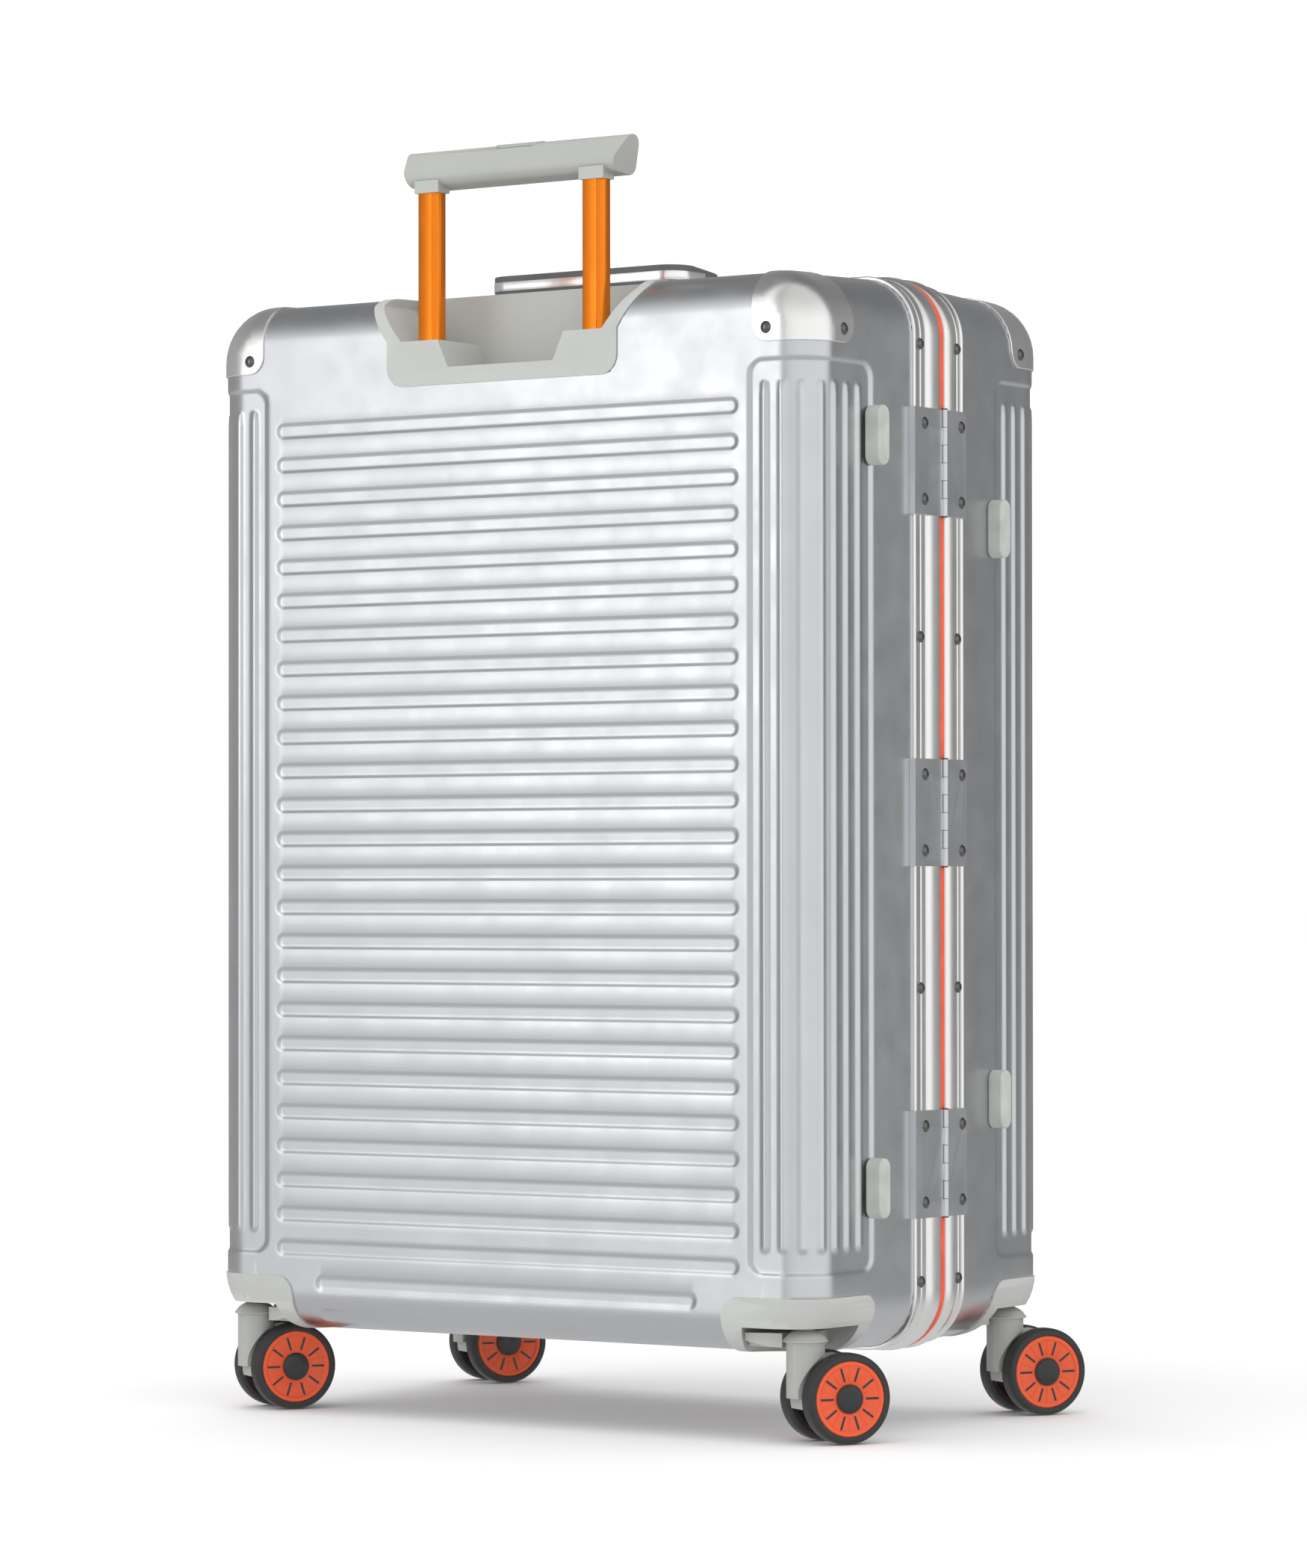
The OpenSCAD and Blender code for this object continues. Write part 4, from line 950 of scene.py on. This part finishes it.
class BuildInterior(bpy.types.Operator):
    """Builds the linings and the packing straps"""
    bl_idname = "suitcase.build_interior"
    bl_label = "Interior"

    def execute(self, context):
        polished_copy("rear_lining", "lining_fabric", "root", 0.5 * MM)
        polished_copy("front_lining", "lining_fabric", "front_half", 0.5 * MM)
        polished_copy("packing_straps", "strap_webbing", "root", 0.3 * MM)
        return {"FINISHED"}


# ---- Stage ----

# Brightness of the studio's walls by bearing, in degrees from +X towards +Y
STUDIO_WALLS = [(-180, 0.45), (-150, 0.46), (-138, 0.50), (-130, 0.98), (-122, 1.85), (-113, 1.75),
                (-107, 0.80), (-100, 0.68), (-88, 1.10), (-60, 1.22), (22, 1.28), (35, 1.15), (45, 0.42),
                (54, 0.335), (66, 0.30), (180, 0.45)]
WALL_GAIN = 1.9
# Share of the walls' brightness that is left overhead
ROOF_SHARE = 0.62
FLOOR_GLOW = 0.78
PLAIN_LIGHT = 1.12
FLOOR_HALF = 60.0
LENS = 156.9
CAMERA_PLACE = (2.2175, -3.2141, 0.3572)
CAMERA_TURN = (90.65, 0.05, 34.47)
CAMERA_SHIFT = 0.030


def stage_world():
    """Studio walls that only the reflections see, and a plain white light for all else."""
    world = bpy.data.worlds.new("studio")
    world.use_nodes = True
    bpy.context.scene.world = world
    tree = world.node_tree
    nodes, link = tree.nodes, tree.links.new
    nodes.clear()

    def add(kind, **settings):
        node = nodes.new(kind)
        for key, value in settings.items():
            setattr(node, key, value)
        return node

    def ranged(value, numbers, **settings):
        node = add("ShaderNodeMapRange", **settings)
        set_range(node, *numbers)
        link(value, node.inputs["Value"])
        return node.outputs["Result"]

    place = add("ShaderNodeTexCoord").outputs["Generated"]
    height = add("ShaderNodeSeparateXYZ")
    link(place, height.inputs[0])
    bearing = add("ShaderNodeMath", operation="ARCTAN2")
    link(height.outputs["Y"], bearing.inputs[0])
    link(height.outputs["X"], bearing.inputs[1])
    walls = add("ShaderNodeValToRGB")
    ramp = walls.color_ramp
    ramp.interpolation = "EASE"
    for degrees, _ in STUDIO_WALLS[1:-1]:
        ramp.elements.new((degrees + 180) / 360)
    for element, (_, brightness) in zip(ramp.elements, STUDIO_WALLS):
        element.color = (brightness / WALL_GAIN,) * 3 + (1,)
    link(ranged(bearing.outputs[0], (-math.pi, math.pi, 0, 1)), walls.inputs["Fac"])
    shade = ranged(height.outputs["Z"], (0.2, 0.9, WALL_GAIN, ROOF_SHARE * WALL_GAIN),
                   interpolation_type="SMOOTHSTEP")
    level = add("ShaderNodeMath", operation="MULTIPLY")
    link(walls.outputs["Color"], level.inputs[0])
    link(shade, level.inputs[1])
    below = ranged(height.outputs["Z"], (-0.45, 0.02, 1, 0), interpolation_type="SMOOTHSTEP")
    blend = add("ShaderNodeMix", data_type="FLOAT")
    blend.inputs[3].default_value = FLOOR_GLOW
    link(below, blend.inputs[0])
    link(level.outputs[0], blend.inputs[2])
    studio = add("ShaderNodeBackground")
    link(blend.outputs[0], studio.inputs["Strength"])
    plain = add("ShaderNodeBackground")
    plain.inputs["Strength"].default_value = PLAIN_LIGHT
    plain.inputs["Color"].default_value = (1, 1, 1, 1)
    path = add("ShaderNodeLightPath")
    mix = add("ShaderNodeMixShader")
    link(path.outputs["Is Glossy Ray"], mix.inputs[0])
    link(plain.outputs[0], mix.inputs[1])
    link(studio.outputs[0], mix.inputs[2])
    link(mix.outputs[0], add("ShaderNodeOutputWorld").inputs["Surface"])


def area_light(name, location, target, size, power, glossy):
    """A square lamp that the camera doesn't see."""
    data = bpy.data.lights.new(name, "AREA")
    data.shape = "SQUARE"
    data.size = size
    data.energy = power
    light = bpy.data.objects.new(name, data)
    light.location = location
    light.rotation_euler = (Vector(target) - Vector(location)).to_track_quat("-Z", "Y").to_euler()
    light.visible_glossy = glossy
    light.visible_camera = False
    bpy.context.scene.collection.objects.link(light)


class BuildStage(bpy.types.Operator):
    """Builds the floor, the lights and the camera"""
    bl_idname = "suitcase.build_stage"
    bl_label = "Stage"

    def execute(self, context):
        scene = context.scene
        corners = [(x * FLOOR_HALF, y * FLOOR_HALF, 0) for x, y in ((-1, -1), (1, -1), (1, 1), (-1, 1))]
        mesh = bpy.data.meshes.new("floor")
        mesh.from_pydata(corners, [], [(0, 1, 2, 3)])
        floor = bpy.data.objects.new("floor", mesh)
        scene.collection.objects.link(floor)
        paper = Finish("studio_floor", (0.95, 0.95, 0.95), 0.9)
        paper.bump(paper.noise(900, 3), 0.02 * MM, 0.3)
        mesh.materials.append(paper.material)
        floor.visible_glossy = False
        stage_world()
        area_light("overhead", (-0.5, -0.9, 2.8), (0, 0, 0.3), 2.4, 14, False)
        area_light("rear_softbox", (-0.86, -1.55, 0.78), (0, 0, 0.45), 0.7, 1.0, True)
        data = bpy.data.cameras.new("camera")
        data.sensor_fit = "HORIZONTAL"
        data.sensor_width = 36
        data.lens = LENS
        data.shift_y = CAMERA_SHIFT
        camera = bpy.data.objects.new("camera", data)
        camera.location = CAMERA_PLACE
        camera.rotation_euler = [math.radians(turn) for turn in CAMERA_TURN]
        scene.collection.objects.link(camera)
        scene.camera = camera
        scene.view_settings.view_transform = "Standard"
        return {"FINISHED"}


# ---- Panel and registration ----

OPERATORS = (BuildShells, BuildFrames, BuildFittings, BuildRivets, BuildPullHandle, BuildCarryHandles,
             BuildLatches, BuildCasters, BuildInterior, BuildStage)


class SuitcasePanel(bpy.types.Panel):
    """Lists the suitcase's sizes, colours and operators"""
    bl_idname = "VIEW3D_PT_suitcase"
    bl_label = "Suitcase"
    bl_space_type = "VIEW_3D"
    bl_region_type = "UI"
    bl_category = "Suitcase"

    def draw(self, context):
        for group in (context.scene.suitcase_sizes, context.scene.suitcase_colours):
            for name in group.bl_rna.properties.keys():
                if name not in ("rna_type", "name"):
                    self.layout.prop(group, name)
        for operator in OPERATORS:
            self.layout.operator(operator.bl_idname)


CLASSES = (SuitcaseSizes, SuitcaseColours) + OPERATORS + (SuitcasePanel,)


def register():
    for cls in CLASSES:
        bpy.utils.register_class(cls)
    bpy.types.Scene.suitcase_sizes = PointerProperty(type=SuitcaseSizes)
    bpy.types.Scene.suitcase_colours = PointerProperty(type=SuitcaseColours)


def unregister():
    del bpy.types.Scene.suitcase_colours
    del bpy.types.Scene.suitcase_sizes
    for cls in reversed(CLASSES):
        bpy.utils.unregister_class(cls)


def main():
    register()
    for operator in OPERATORS:
        group, name = operator.bl_idname.split(".")
        getattr(getattr(bpy.ops, group), name)()


if __name__ == "__main__":
    main()
